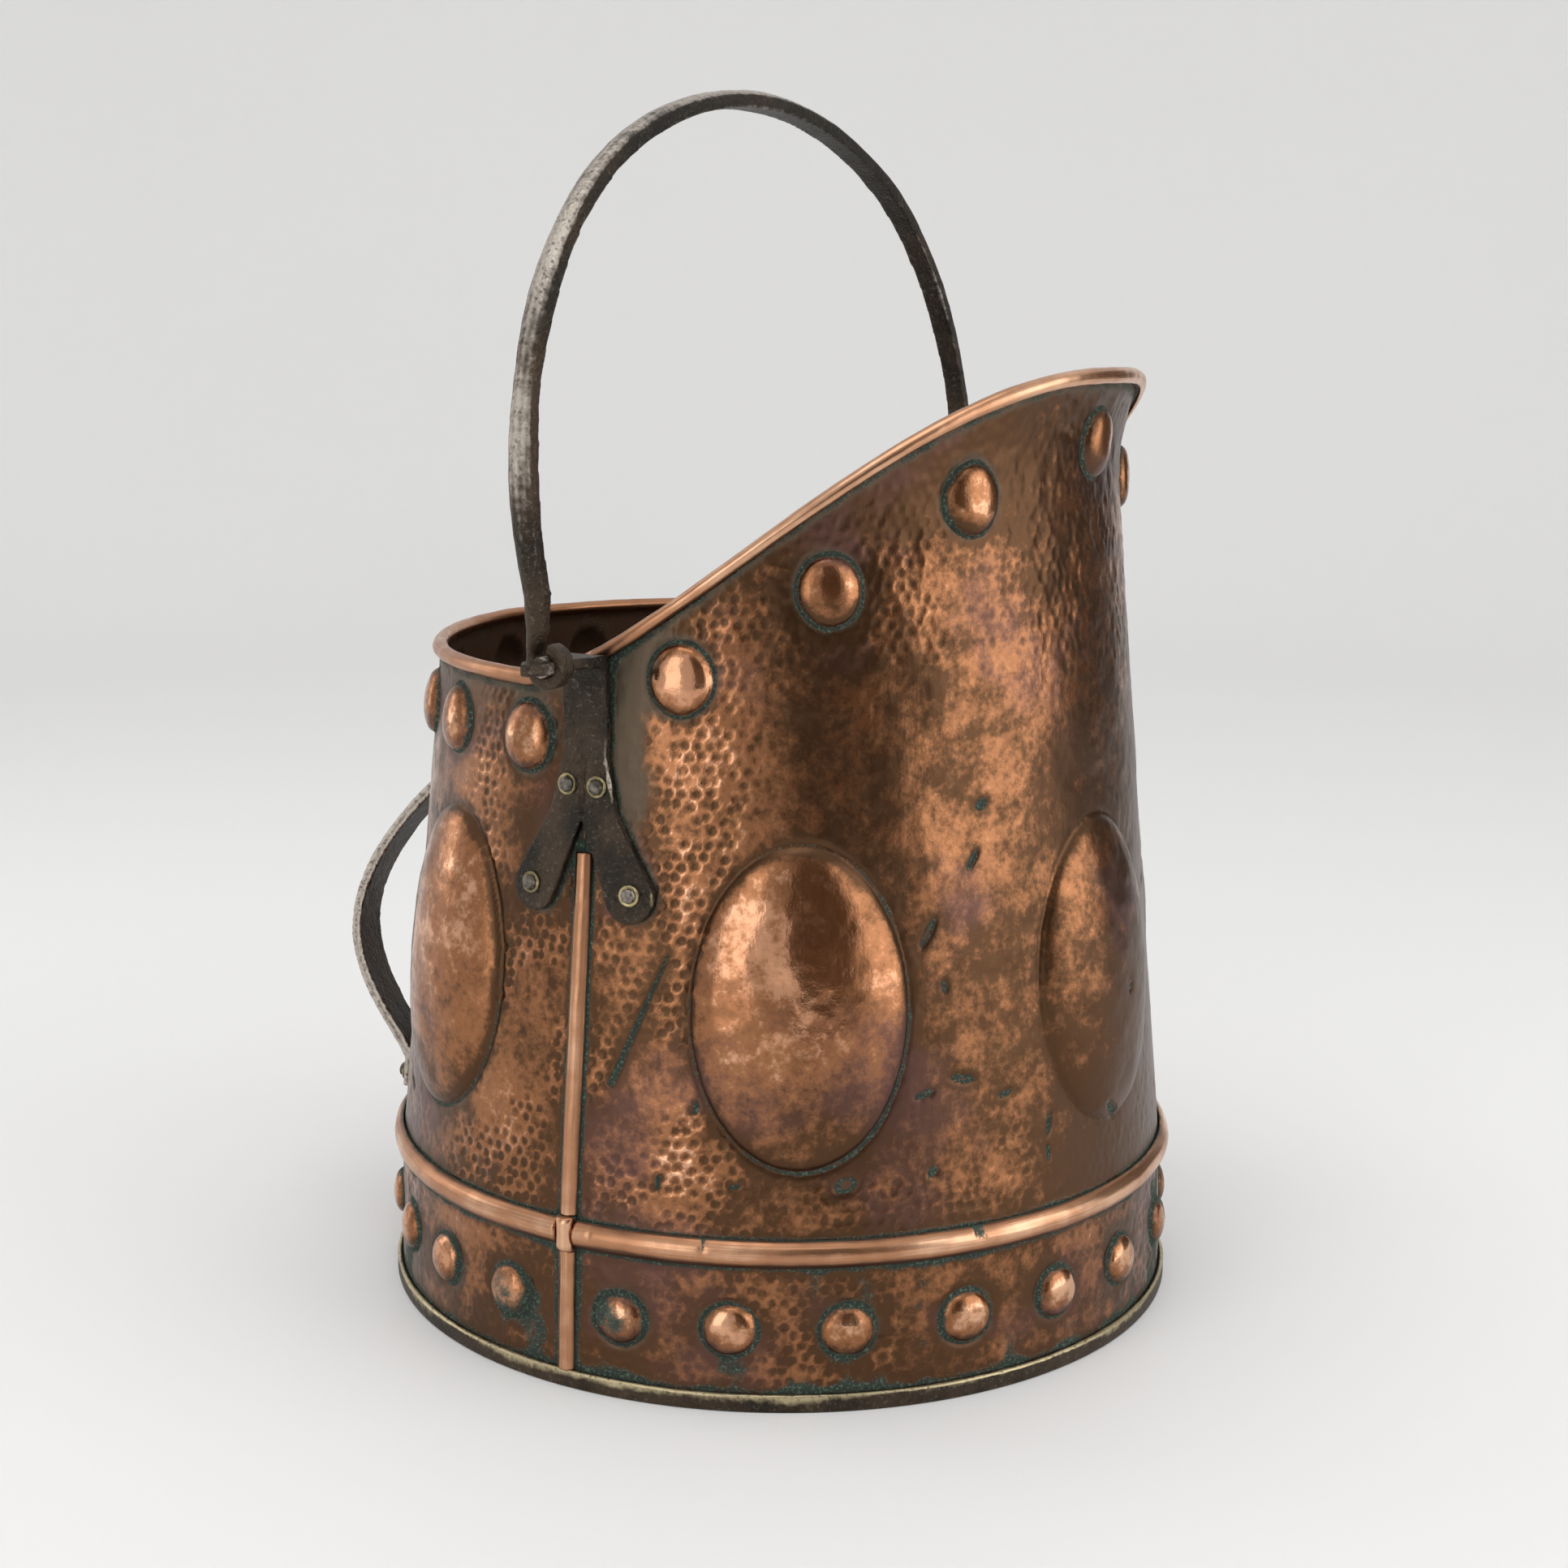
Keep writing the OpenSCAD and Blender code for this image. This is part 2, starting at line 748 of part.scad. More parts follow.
function mirrored(section) = [for (pair = section) [for (c = pair) [c[0], -c[1], c[2]]]];

module bail() {
    half = bail_sections();
    n = len(half);
    color(iron)
        translate([0, 0, pivot_z])
            rotate([0, -bail_lean, 0]) {
                ribbon_skin(concat(
                    [for (i = [n - 1 : -1 : 0]) half[i]],
                    [for (i = [1 : n - 1]) mirrored(half[i])]
                ));
                for (s = [0, 1])
                    mirror([0, s, 0])
                        hook();
            }
}

// The open eye at the foot of the bail, curled under and up round the neck
module hook() {
    translate([0, eye_y, 0])
        rotate([90, 0, 0])
            rotate([0, 0, hook_start])
                rotate_extrude(angle = hook_end - hook_start)
                    translate([eye_r, -eye_w / 2])
                        square([eye_t, eye_w]);
}

// Back handle ------------------------------------------------------------------------------------

// Middle line of the strap: [height, offset from the wall]
function grip_points() =
    let (flat = seat_gap + grip_t / 2, far = grip_reach - grip_t / 2)
    concat(
        [[grip_top_z + tab_len, flat], [grip_top_z + tab_len / 2, flat]],
        [for (i = [0 : 10])
            [grip_top_z + (grip_mid_z - grip_top_z) * i / 10, flat + (far - flat) * pow(sin(9 * i), 0.85)]],
        [for (i = [1 : 10])
            [grip_mid_z + (grip_low_z - grip_mid_z) * i / 10, flat + (far - flat) * pow(cos(9 * i), 1.1)]],
        [[grip_low_z - tab_len / 2, flat], [grip_low_z - tab_len, flat]]
    );

// Direction of the strap's middle line at height z, leaning back towards its top
function grip_a(z) =
    let (t = clamp01((z - grip_low_z) / (grip_top_z - grip_low_z)))
    -90 - grip_low_angle - (grip_top_angle - grip_low_angle) * t;

// Unit normal of the middle line at point i of the list p, pointing away from the body
function grip_normal(p, i) =
    let (a = p[max(0, i - 1)], b = p[min(len(p) - 1, i + 1)],
         d = [wall_r(b[0]) + b[1] - wall_r(a[0]) - a[1], b[0] - a[0]])
    [-d[1], d[0]] / norm(d);

// Corners of the strap's section at point i: pairs across its thickness at its two edges
function grip_section(p, i) =
    let (z = p[i][0], a = grip_a(z), n = grip_normal(p, i) * grip_t / 2,
         out = [cos(a), sin(a), 0], across = [-sin(a), cos(a), 0] * grip_w / 2,
         mid = out * (wall_r(z) + p[i][1]) + [0, 0, z])
    [for (s = [-1, 1])
        [mid + s * across - out * n[0] - [0, 0, n[1]], mid + s * across + out * n[0] + [0, 0, n[1]]]];

module back_handle() {
    p = grip_points();
    color(iron)
        difference() {
            ribbon_skin([for (i = [0 : len(p) - 1]) grip_section(p, i)]);
            handle_rivet_frames()
                translate([0, 0, -hole_reach])
                    cylinder(d = shank_d + 0.2, h = 2 * hole_reach);
        }
}

// Puts children on the wall at each rivet of the back handle
module handle_rivet_frames() {
    for (z = [grip_top_z + tab_len * 0.6, grip_low_z - tab_len * 0.6])
        for (s = [-1, 1])
            on_wall(grip_a(z), z)
                translate([0, s * grip_w / 4, 0])
                    children();
}

module handle_rivets() {
    color(brass_worn)
        handle_rivet_frames()
            rivet(grip_t);
}

module handle_burrs() {
    far = grip_w / 4 + head_d / 2 + 0.5;
    color(brass_worn)
        handle_rivet_frames()
            burr(2 * seat_gap + far * far / (2 * wall_r(grip_top_z)));
}

front_sheet();
back_sheet();
rim_wire();
foot_band_front();
foot_band_back();
waist_bead_front();
waist_bead_back();
seam_strip_right();
seam_strip_left();
foot_strip_right();
foot_strip_left();
collar_right();
collar_left();
foot_hoop();
base_plate();
lug_right();
lug_left();
lug_rivets_right();
lug_rivets_left();
lug_burrs_right();
lug_burrs_left();
bail();
back_handle();
handle_rivets();
handle_burrs();
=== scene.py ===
import math

import bmesh
import bpy
import numpy as np
from bpy.props import FloatProperty, FloatVectorProperty, PointerProperty
from mathutils import Matrix, Vector


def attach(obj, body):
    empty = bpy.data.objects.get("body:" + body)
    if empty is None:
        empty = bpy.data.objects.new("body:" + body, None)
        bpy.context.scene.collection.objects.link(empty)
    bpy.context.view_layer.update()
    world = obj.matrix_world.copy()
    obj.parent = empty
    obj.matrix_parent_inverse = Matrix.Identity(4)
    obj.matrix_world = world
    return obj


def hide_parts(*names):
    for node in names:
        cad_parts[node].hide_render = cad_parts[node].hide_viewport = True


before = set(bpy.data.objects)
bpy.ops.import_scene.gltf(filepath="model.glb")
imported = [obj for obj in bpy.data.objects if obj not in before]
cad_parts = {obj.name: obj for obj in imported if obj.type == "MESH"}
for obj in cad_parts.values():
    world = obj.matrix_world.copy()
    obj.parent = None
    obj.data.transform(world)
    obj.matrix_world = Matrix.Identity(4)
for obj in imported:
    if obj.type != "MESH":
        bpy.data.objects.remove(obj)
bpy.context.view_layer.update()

bl_info = {
    "name": "Hammered coal scuttle",
    "version": (1, 0, 0),
    "blender": (4, 5, 0),
    "location": "View3D > Sidebar > Scuttle",
    "description": "Builds a coal scuttle's hammered copper, trim, forged iron and studio round its CAD parts",
    "category": "Object",
}

MM = 0.001
# Radii at which arcs along the upper wall and round the foot are measured, in metres
WALL_ARC_R, FOOT_ARC_R = 0.16, 0.17
# Heights over which the rows of points of the wall and of the foot band are shared out, in metres
WALL_ROWS_H, FOOT_ROWS_H = 0.26, 0.062
# Points of the rolled edge's section, outside and inside, and the degrees between which it runs
ROLL_POINTS, CORE_POINTS, ROLL_FROM, ROLL_TO = 22, 7, -75, 225

# Places of the embossed bosses, in degrees ahead of the right-hand lug, and the oval that is worn soft
FRONT_OVALS = (32, 84, 138)
SOFT_OVAL = 84
BACK_OVALS = (-30, -150)
FRONT_BOSSES = (14.3, 36.1, 59.2, 90.1, 119.6, 144.5, 166.2)
BACK_BOSSES = (-12, -32.5, -50.5, -70.5, -90, -110.5, -129.5, -147.5, -168)
FRONT_FOOT_BOSSES = (8, 23, 38.5, 55, 70.5, 86, 103, 119, 135, 151, 167)
BACK_FOOT_BOSSES = (14, 30, 46, 62, 78, 94, 110, 126, 141, 155, 170)

# Gouges in the wall: direction from the lip in degrees, height, length, width and depth in mm, and turn in degrees
GOUGES = (
    (-32.3, 210.5, 11, 3.2, 1.1, 55), (-39.7, 184.3, 15, 3.6, 1.3, 60), (-51.8, 89.1, 11, 7.5, 1.3, 20),
    (-40.7, 122.0, 10, 3.4, 1.0, 15), (-34.8, 126.3, 13, 4.0, 0.9, 170), (-20.1, 101.4, 11, 3.0, 1.2, 75),
    (-6.8, 98.9, 16, 4.0, 1.2, 140), (-39.7, 91.6, 6, 4.4, 1.0, 30), (-30.5, 231.5, 8, 5.0, 0.7, 20),
    (-72.0, 118.0, 7, 3.0, 0.8, 80), (-77.0, 88.0, 8, 2.6, 0.8, 85), (-66.5, 88.5, 6, 2.6, 0.8, 20),
    (-37.4, 163.0, 7, 3.4, 0.7, 95), (-27.9, 118.0, 8, 3.0, 0.7, 10), (-20.6, 90.0, 8, 2.4, 1.0, 100),
    (-4.0, 149.0, 5, 2.4, 0.8, 45), (18.0, 180.0, 12, 3.2, 1.0, 30), (41.0, 112.0, 10, 4.0, 1.0, 120),
    (66.0, 205.0, 9, 3.0, 0.9, 60), (104.0, 96.0, 11, 4.0, 1.1, 15), (131.0, 190.0, 9, 3.0, 0.9, 100),
    (158.0, 130.0, 12, 3.4, 1.0, 70), (-150.0, 190.0, 9, 3.0, 0.9, 35), (-133.0, 92.0, 9, 3.4, 0.9, 150),
)
# The long scratch beside the near seam: direction in degrees, height in mm and half width in mm at each end
SCRATCH = ((-76.6, 175.3, 0.6), (-84.3, 124.3, 1.7))
# Cuts across the waist bead, as direction in degrees and width in mm: green old ones, then cleaner ones
GREEN_CUTS = ((-70.4, 1.0), (-34.2, 0.5), (-33.6, 0.5), (-33.0, 0.5))
CLEAN_CUTS = ((-86.0, 0.5), (28, 0.8), (115, 0.9))


# Properties -----------------------------------------------------------------------------------------------------

def detail(full, quick):
    return full


def length(name, description, default):
    """A length property given in millimetres and kept in metres."""
    return FloatProperty(name=name, description=description, default=default * MM, unit="LENGTH", precision=5)


def number(name, description, default):
    """A plain number property."""
    return FloatProperty(name=name, description=description, default=default, precision=4)


class ScuttleSizes(bpy.types.PropertyGroup):
    """Sizes of the scuttle that the dressed pieces share with the CAD part."""

    foot_r: length("Foot radius", "Outer radius of the body at the foot", 170)
    waist_r: length("Waist radius", "Outer radius of the body under the waist bead", 168)
    waist_z: length("Waist height", "Height of the middle of the waist bead", 63)
    taper: number("Taper", "Radius lost for each unit of height above the waist", 0.094)
    sheet_t: length("Sheet thickness", "Thickness of the copper sheet", 1.2)
    seat_gap: length("Seat gap", "Gap between a piece and the face that it is fixed to", 0.15)
    rim_low_z: length("Low rim", "Height of the rim behind the lugs", 279.5)
    rim_front_z: length("Lip height", "Height of the rim at the pouring lip", 396)
    rim_back_rise: length("Back rise", "Extra height of the rim at the middle of the back", 2)
    rise_start: number("Rise start", "Degrees behind the lugs at which the rim starts to climb", 12.5)
    rise_power: number("Rise power", "How softly the climb starts", 1.65)
    rise_settle: number("Rise settle", "How early the climb levels off towards the lip", 2.9)
    flare_out: length("Flare", "How far the lip flares out", 13)
    flare_h: length("Flare height", "Height of the flared part of the lip", 45)
    roll_d: length("Roll diameter", "Outer diameter of the rolled edge", 6.6)
    roll_shift: length("Roll shift", "Outward shift of the rolled edge", 0.9)
    oval_w: length("Oval width", "Width of a large oval boss", 84)
    oval_h: length("Oval height", "Height of a large oval boss", 124)
    oval_proud: length("Oval proud", "How far a large oval boss stands proud", 10)
    oval_z: length("Oval centre", "Height of the middle of the large oval bosses", 157)
    rim_boss_d: length("Rim boss diameter", "Diameter of a round boss under the rim", 27)
    rim_boss_proud: length("Rim boss proud", "How far a round boss under the rim stands proud", 5.5)
    front_boss_drop: length("Front boss drop", "Drop from the rim to a boss at the middle of the lip", 30)
    front_boss_dip: length("Front boss dip", "Extra drop of a boss on the slope of the lip", 10)
    back_boss_drop: length("Back boss drop", "Drop from the rim to a boss round the back", 26)
    foot_boss_d: length("Foot boss diameter", "Diameter of a foot boss", 21)
    foot_boss_proud: length("Foot boss proud", "How far a foot boss stands proud", 4.5)
    bead_h: length("Bead height", "Height of the half-round waist bead", 11.5)
    bead_proud: length("Bead proud", "How far the waist bead stands proud", 4)
    strip_w: length("Strip width", "Width of the half-round strips over the seams", 8)
    strip_proud: length("Strip proud", "How far the strips stand proud", 3)
    collar_h: length("Collar height", "Length of the collar over the crossing of bead and strip", 14)
    hoop_h: length("Hoop height", "Height of the hoop round the foot", 7)
    hoop_t: length("Hoop thickness", "Thickness of the hoop's wall", 2.2)
    hoop_lip_w: length("Hoop lip", "Width of the hoop's turned-in lip", 14)
    lug_t: length("Lug thickness", "Thickness of the lug strap", 4)
    lug_w: length("Lug width", "Width of the lug strap", 20)
    lug_bottom_z: length("Lug bottom", "Height of the lowest point of the lug's legs", 187)
    lug_split_z: length("Lug split", "Height at which the lug is slit into two legs", 250)
    lug_crotch_z: length("Lug crotch", "Height at which the legs part", 226)
    lug_crotch_w: length("Lug crotch width", "Width of the two legs together where they part", 31)
    leg_spread: length("Leg spread", "Distance from the centre line to a leg's rivet", 22)
    leg_end_w: length("Leg end", "Width of the rounded end of a leg", 20)
    upper_rivet_x: length("Upper rivet offset", "Distance from the centre line to an upper rivet", 6.5)
    shank_d: length("Shank diameter", "Diameter of a rivet's shank", 4.4)
    head_d: length("Head diameter", "Diameter of a rivet's head", 8.6)
    head_h: length("Head height", "Height of a rivet's head", 3)
    burr_t: length("Burr thickness", "Thickness of the washer inside each rivet", 1.4)
    neck_d: length("Neck diameter", "Diameter of the neck on which the bail's eye turns", 8)
    eye_y: length("Eye distance", "Distance from the centre plane to the middle of the bail's eye", 176)
    eye_w: length("Eye width", "Width of the bail's eye along the neck", 8)
    grip_low_angle: number("Grip low angle", "Degrees behind the right-hand lug to the handle's lower end", 67)
    grip_top_angle: number("Grip top angle", "Degrees behind the right-hand lug to the handle's upper end", 84)
    grip_w: length("Grip width", "Width of the back handle's strap", 24)
    grip_t: length("Grip thickness", "Thickness of the back handle's strap", 4.6)
    grip_top_z: length("Grip top", "Height at which the grip leaves the body at the top", 214)
    grip_low_z: length("Grip bottom", "Height at which the grip returns to the body", 85)
    tab_len: length("Tab length", "Length of the strap's flat tab at each end", 14)


class ScuttleFinish(bpy.types.PropertyGroup):
    """How the surfaces are worked and worn."""

    blow_size: length("Blow spacing", "Distance between neighbouring ball-peen blows", 5.3)
    blow_depth: length("Blow depth", "Depth of a ball-peen blow", 0.5)
    planish: length("Planishing", "Depth of the soft waves left by planishing", 0.35)
    forging: length("Forging", "Depth of the waves left in forged iron", 0.25)
    wall_step: length("Wall step", "Distance between the points of the hammered wall", 0.92)
    forge_voxel: length("Forge voxel", "Grid of the remeshed forged pieces", 0.75)


class ScuttleStudio(bpy.types.PropertyGroup):
    """Camera and lights."""

    camera_at: FloatVectorProperty(name="Camera", description="Place of the camera", subtype="XYZ", unit="LENGTH",
                                   default=(0.5012, -0.8826, 0.4085))
    look_at: FloatVectorProperty(name="Aim", description="Point that the camera looks at", subtype="XYZ",
                                 unit="LENGTH", default=(0, 0, 0.2135))
    roll: number("Roll", "Turn of the camera about its own axis in degrees", 0.43)
    lens: number("Lens", "Focal length in millimetres on a 36 mm sensor", 54.0)
    key: number("Key light", "Brightness of the large softbox on the right", 1.55)
    fill: number("Fill light", "Brightness of the softbox on the left", 1.2)
    rim: number("Rim light", "Brightness of the softbox behind on the left", 1.25)
    top: number("Top light", "Brightness of the overhead softbox", 1.5)
    surround: number("Surround", "Brightness of the sky over the studio", 0.82)


# Noise and marks ------------------------------------------------------------------------------------------------

TABLE_SEED, BLOW_SEED, RIVET_SEED, GRIP_RIVET_SEED = 7, 11, 21, 31
TABLE_N = 32
TABLES = np.random.default_rng(TABLE_SEED).random((12, TABLE_N, TABLE_N, TABLE_N)).astype(np.float32) * 2 - 1


def noise(points, size, table):
    """Smooth noise from -1 to 1 at points, with features of about the given size."""
    q = np.asarray(points) / size
    low = np.floor(q).astype(np.int64)
    f = (q - low).astype(np.float32)
    f = f * f * (3 - 2 * f)
    a, b = low % TABLE_N, (low + 1) % TABLE_N
    t = TABLES[table]
    x0, y0, z0 = a[..., 0], a[..., 1], a[..., 2]
    x1, y1, z1 = b[..., 0], b[..., 1], b[..., 2]
    fx, fy, fz = f[..., 0], f[..., 1], f[..., 2]

    def mix(u, v, w):
        return u + (v - u) * w

    near = mix(mix(t[x0, y0, z0], t[x1, y0, z0], fx), mix(t[x0, y1, z0], t[x1, y1, z0], fx), fy)
    far = mix(mix(t[x0, y0, z1], t[x1, y0, z1], fx), mix(t[x0, y1, z1], t[x1, y1, z1], fx), fy)
    return mix(near, far, fz)


def rough(points, size, table, octaves=3):
    """Noise with finer and finer detail, from about -1 to 1."""
    total, weight = 0, 0
    for i in range(octaves):
        total = total + noise(points, size / 2 ** i, (table + i) % len(TABLES)) / 2 ** i
        weight += 1 / 2 ** i
    return total / weight * 1.5


def ramp(x, low, high):
    """0 below low, 1 above high and smooth between."""
    t = np.clip((x - low) / (high - low), 0, 1)
    return t * t * (3 - 2 * t)


def bell(x, width):
    """1 at zero, falling off smoothly over about the given width."""
    return np.exp(-(x / width) ** 2)


def blows(s, z, girth, size):
    """Distances to the two nearest blows of a ball-peen hammer, and a random number for the nearest."""
    n, most_rows, loose, far = int(round(girth / size)), 256, 0.5, 9.0
    step, rise = girth / n, size * 0.87
    jitter = np.random.default_rng(BLOW_SEED).random((3, n, most_rows)).astype(np.float32)
    row = np.floor(z / rise).astype(np.int64)
    best, second, luck = np.full(s.shape, far), np.full(s.shape, far), np.zeros(s.shape)
    for dj in (-1, 0, 1):
        j = row + dj
        shift = 0.5 * (j % 2)
        i0 = np.floor(s / step - shift).astype(np.int64)
        for di in (-1, 0, 1, 2):
            i = i0 + di
            px, py, chance = (jitter[k, i % n, j % most_rows] for k in range(3))
            x = (i + shift + (px - 0.5) * loose) * step
            y = (j + 0.5 + (py - 0.5) * loose) * rise
            d = np.hypot(s - x, z - y)
            nearer = d < best
            second = np.where(nearer, best, np.minimum(second, d))
            luck = np.where(nearer, chance, luck)
            best = np.where(nearer, d, best)
    return best, second, luck


def slot_mark(s, z, centre, half_len, half_w, turn):
    """1 in the middle of a long mark and 0 outside it."""
    c, k = math.cos(math.radians(turn)), math.sin(math.radians(turn))
    x, y = s - centre[0], z - centre[1]
    u, v = (x * c + y * k) / half_len, (-x * k + y * c) / half_w
    return np.clip(1 - u * u - v * v, 0, 1)


# Form of the body -----------------------------------------------------------------------------------------------

class Form:
    """The drawn form of the copper body. Directions are degrees from the pouring lip, lengths are metres."""

    # The bail's pivot under the rim, the upper rivets under the slit and a leg's rivet over the middle of its end
    PIVOT_DROP, UPPER_RIVET_DROP, LEG_RIVET_UP = 3 * MM, 12 * MM, 1 * MM
    # Gap between the legs' crotch and the seam strip, in widths of the strip
    STRIP_GAP = 1.75

    def __init__(self, sizes):
        self.s = sizes
        self.roll_r = sizes.roll_d / 2
        self.slope = math.atan(sizes.taper)
        self.pivot_z = float(self.rim_z(90.0)) - self.PIVOT_DROP
        self.upper_rivet_z = sizes.lug_split_z - self.UPPER_RIVET_DROP
        self.leg_rivet_z = sizes.lug_bottom_z + sizes.leg_end_w / 2 + self.LEG_RIVET_UP
        self.strip_top_z = sizes.lug_crotch_z - self.STRIP_GAP * sizes.strip_w

    def ahead(self, a):
        """Degrees ahead of the lugs: 90 at the pouring lip and -90 at the middle of the back."""
        return 90 - np.abs((np.asarray(a, float) + 180) % 360 - 180)

    def wall_r(self, z):
        """Outer radius of the plain wall at a height."""
        s = self.s
        return np.where(z < s.waist_z, s.foot_r + (s.waist_r - s.foot_r) * z / s.waist_z,
                        s.waist_r - s.taper * (z - s.waist_z))

    def rim_z(self, a):
        """Height of the rim, which climbs from behind the lugs to the lip."""
        s, f = self.s, self.ahead(a)
        ease = np.clip((f + s.rise_start) / (90 + s.rise_start), 0, 1) ** s.rise_power
        climb = 1 - (1 - ease) ** s.rise_settle
        back = np.clip((-f - s.rise_start) / (90 - s.rise_start), 0, 1)
        return s.rim_low_z + (s.rim_front_z - s.rim_low_z) * climb + s.rim_back_rise * back * back

    def rim_boss_z(self, at):
        """Height of the middle of a round boss under the rim, from its place ahead of the right-hand lug."""
        s, drop = self.s, self.s.back_boss_drop
        if at > 0:
            drop = s.front_boss_drop + s.front_boss_dip * math.sin(math.radians(2 * at)) ** 2
        return float(self.rim_z(at - 90)) - drop

    def flare(self, a, z):
        """How far the lip flares out of the cone of the wall."""
        s = self.s
        side = np.clip(np.sin(np.radians(self.ahead(a))), 0, 1)
        up = np.clip((z - self.rim_z(a) + s.flare_h) / s.flare_h, 0, 1)
        return s.flare_out * side ** 1.2 * up * up

    def roll_centre(self, a):
        """Radius of the middle of the rolled edge."""
        s, z = self.s, self.rim_z(a) - self.roll_r
        return self.wall_r(z) + self.flare(a, z) - s.sheet_t / 2 + s.roll_shift

    def away(self, a, direction):
        """Arc along the wall from a direction, in metres."""
        return np.radians((a - direction + 180) % 360 - 180) * WALL_ARC_R

    def lug_side(self, a):
        """Direction of the nearer lug."""
        return np.where(((a + 360) % 360) > 180, -90.0, 90.0)

    def rivet_frame(self, direction, z, across=0.0):
        """A matrix that puts +Z out of the wall at a direction and height."""
        place = Matrix.Rotation(math.radians(direction), 4, "Z")
        place = place @ Matrix.Translation((float(self.wall_r(z)), 0, z))
        return place @ Matrix.Rotation(math.pi / 2 - self.slope, 4, "Y") @ Matrix.Translation((0, across, 0))

    def lug_rivets(self, side):
        """(direction, height) of the four rivets of the lug on one side."""
        s, found = self.s, []
        for way in (-1, 1):
            for x, z in ((s.upper_rivet_x, self.upper_rivet_z), (s.leg_spread, self.leg_rivet_z)):
                found.append((side * (90 - math.degrees(math.asin(way * x / float(self.wall_r(z))))), z))
        return found

    def grip_direction(self, z):
        """Direction of the back handle at a height: it leans, so its ends differ."""
        s = self.s
        t = min(1, max(0, (z - s.grip_low_z) / (s.grip_top_z - s.grip_low_z)))
        return -90 - s.grip_low_angle - (s.grip_top_angle - s.grip_low_angle) * t

    def grip_rivets(self):
        """(direction, height, offset across) of the rivets of the back handle."""
        s, along_tab = self.s, 0.6
        ends = (s.grip_top_z + s.tab_len * along_tab, s.grip_low_z - s.tab_len * along_tab)
        return [(self.grip_direction(z), z, k * s.grip_w / 4) for z in ends for k in (-1, 1)]

    def points(self, a, r, z):
        """Points from directions, radii and heights."""
        t = np.radians(a)
        return np.stack(np.broadcast_arrays(r * np.cos(t), r * np.sin(t), z), -1)


# Meshes ---------------------------------------------------------------------------------------------------------

def add_object(name, data):
    """A new object in the scene."""
    made = bpy.data.objects.new(name, data)
    bpy.context.scene.collection.objects.link(made)
    return made


def new_piece(name, points, quads, caps=(), materials=(), index=None):
    """A smooth mesh object from points, quads and a few larger caps."""
    mesh = bpy.data.meshes.new(name)
    points = np.ascontiguousarray(points, np.float32).reshape(-1, 3)
    quads = np.asarray(quads, np.int32).reshape(-1, 4)
    loops = np.concatenate([quads.ravel()] + [np.asarray(c, np.int32) for c in caps])
    counts = np.array([4] * len(quads) + [len(c) for c in caps], np.int32)
    mesh.vertices.add(len(points))
    mesh.vertices.foreach_set("co", points.ravel())
    mesh.loops.add(len(loops))
    mesh.loops.foreach_set("vertex_index", loops)
    mesh.polygons.add(len(counts))
    mesh.polygons.foreach_set("loop_start", np.concatenate([[0], np.cumsum(counts)[:-1]]).astype(np.int32))
    mesh.update(calc_edges=True)
    mesh.polygons.foreach_set("use_smooth", np.ones(len(counts), bool))
    for material in materials:
        mesh.materials.append(material)
    if index is not None:
        mesh.polygons.foreach_set("material_index", np.asarray(index, np.int32))
    mesh.validate()
    return add_object(name, mesh)


def loop_quads(stations, ring, closed=False):
    """Quads of a tube of stations, each a closed ring of points."""
    n = stations if closed else stations - 1
    i, j = np.meshgrid(np.arange(n), np.arange(ring), indexing="ij")
    a, b = i * ring + j, (i + 1) % stations * ring + j
    c, d = (i + 1) % stations * ring + (j + 1) % ring, i * ring + (j + 1) % ring
    return np.stack([a, b, c, d], -1).reshape(-1, 4)


def tube(name, rings, closed=False, **more):
    """A tube through an array of rings [station, point, xyz], capped at its ends unless it is closed."""
    n, m = rings.shape[:2]
    caps = () if closed else (np.arange(m), (n - 1) * m + np.arange(m)[::-1])
    return new_piece(name, rings, loop_quads(n, m, closed), caps, **more)


def paint(piece, **masks):
    """Writes per-point masks that the materials read."""
    for name, values in masks.items():
        layer = piece.data.attributes.new(name, "FLOAT", "POINT")
        values = np.broadcast_to(np.ravel(values), len(piece.data.vertices))
        layer.data.foreach_set("value", np.clip(values, 0, 1).astype(np.float32))


def paint_length(piece, along, across):
    """Writes how far each point lies along and across a piece, as a UV map in metres."""
    layer = piece.data.uv_layers.new(name="Along")
    corner = np.zeros(len(piece.data.loops), np.int32)
    piece.data.loops.foreach_get("vertex_index", corner)
    uv = np.stack([np.ravel(along)[corner], np.ravel(across)[corner]], -1).astype(np.float32)
    layer.data.foreach_set("uv", uv.ravel())


def read_mesh(mesh):
    """Points and normals of a mesh."""
    points, normals = np.zeros((2, len(mesh.vertices) * 3), np.float32)
    mesh.vertices.foreach_get("co", points)
    mesh.vertex_normals.foreach_get("vector", normals)
    return points.reshape(-1, 3), normals.reshape(-1, 3)


def neighbour_mean(mesh, values):
    """Mean of each point's neighbours."""
    edges = np.zeros(len(mesh.edges) * 2, np.int32)
    mesh.edges.foreach_get("vertices", edges)
    a, b = edges.reshape(-1, 2).T
    count = np.bincount(a, minlength=len(values)) + np.bincount(b, minlength=len(values))
    columns = [np.bincount(a, v[b], len(v)) + np.bincount(b, v[a], len(v)) for v in values.T]
    return np.stack(columns, -1) / np.maximum(count, 1)[:, None]


def edges_worn(mesh):
    """1 on outer edges and 0 elsewhere, from how each point stands over its neighbours."""
    points, normals = read_mesh(mesh)
    points, passes, full = points.astype(float), 3, 0.05 * MM
    soft = points
    for _ in range(passes):
        soft = neighbour_mean(mesh, soft)
    stands = ((points - soft) * normals).sum(1)
    return np.clip(stands / (full * passes), 0, 1)


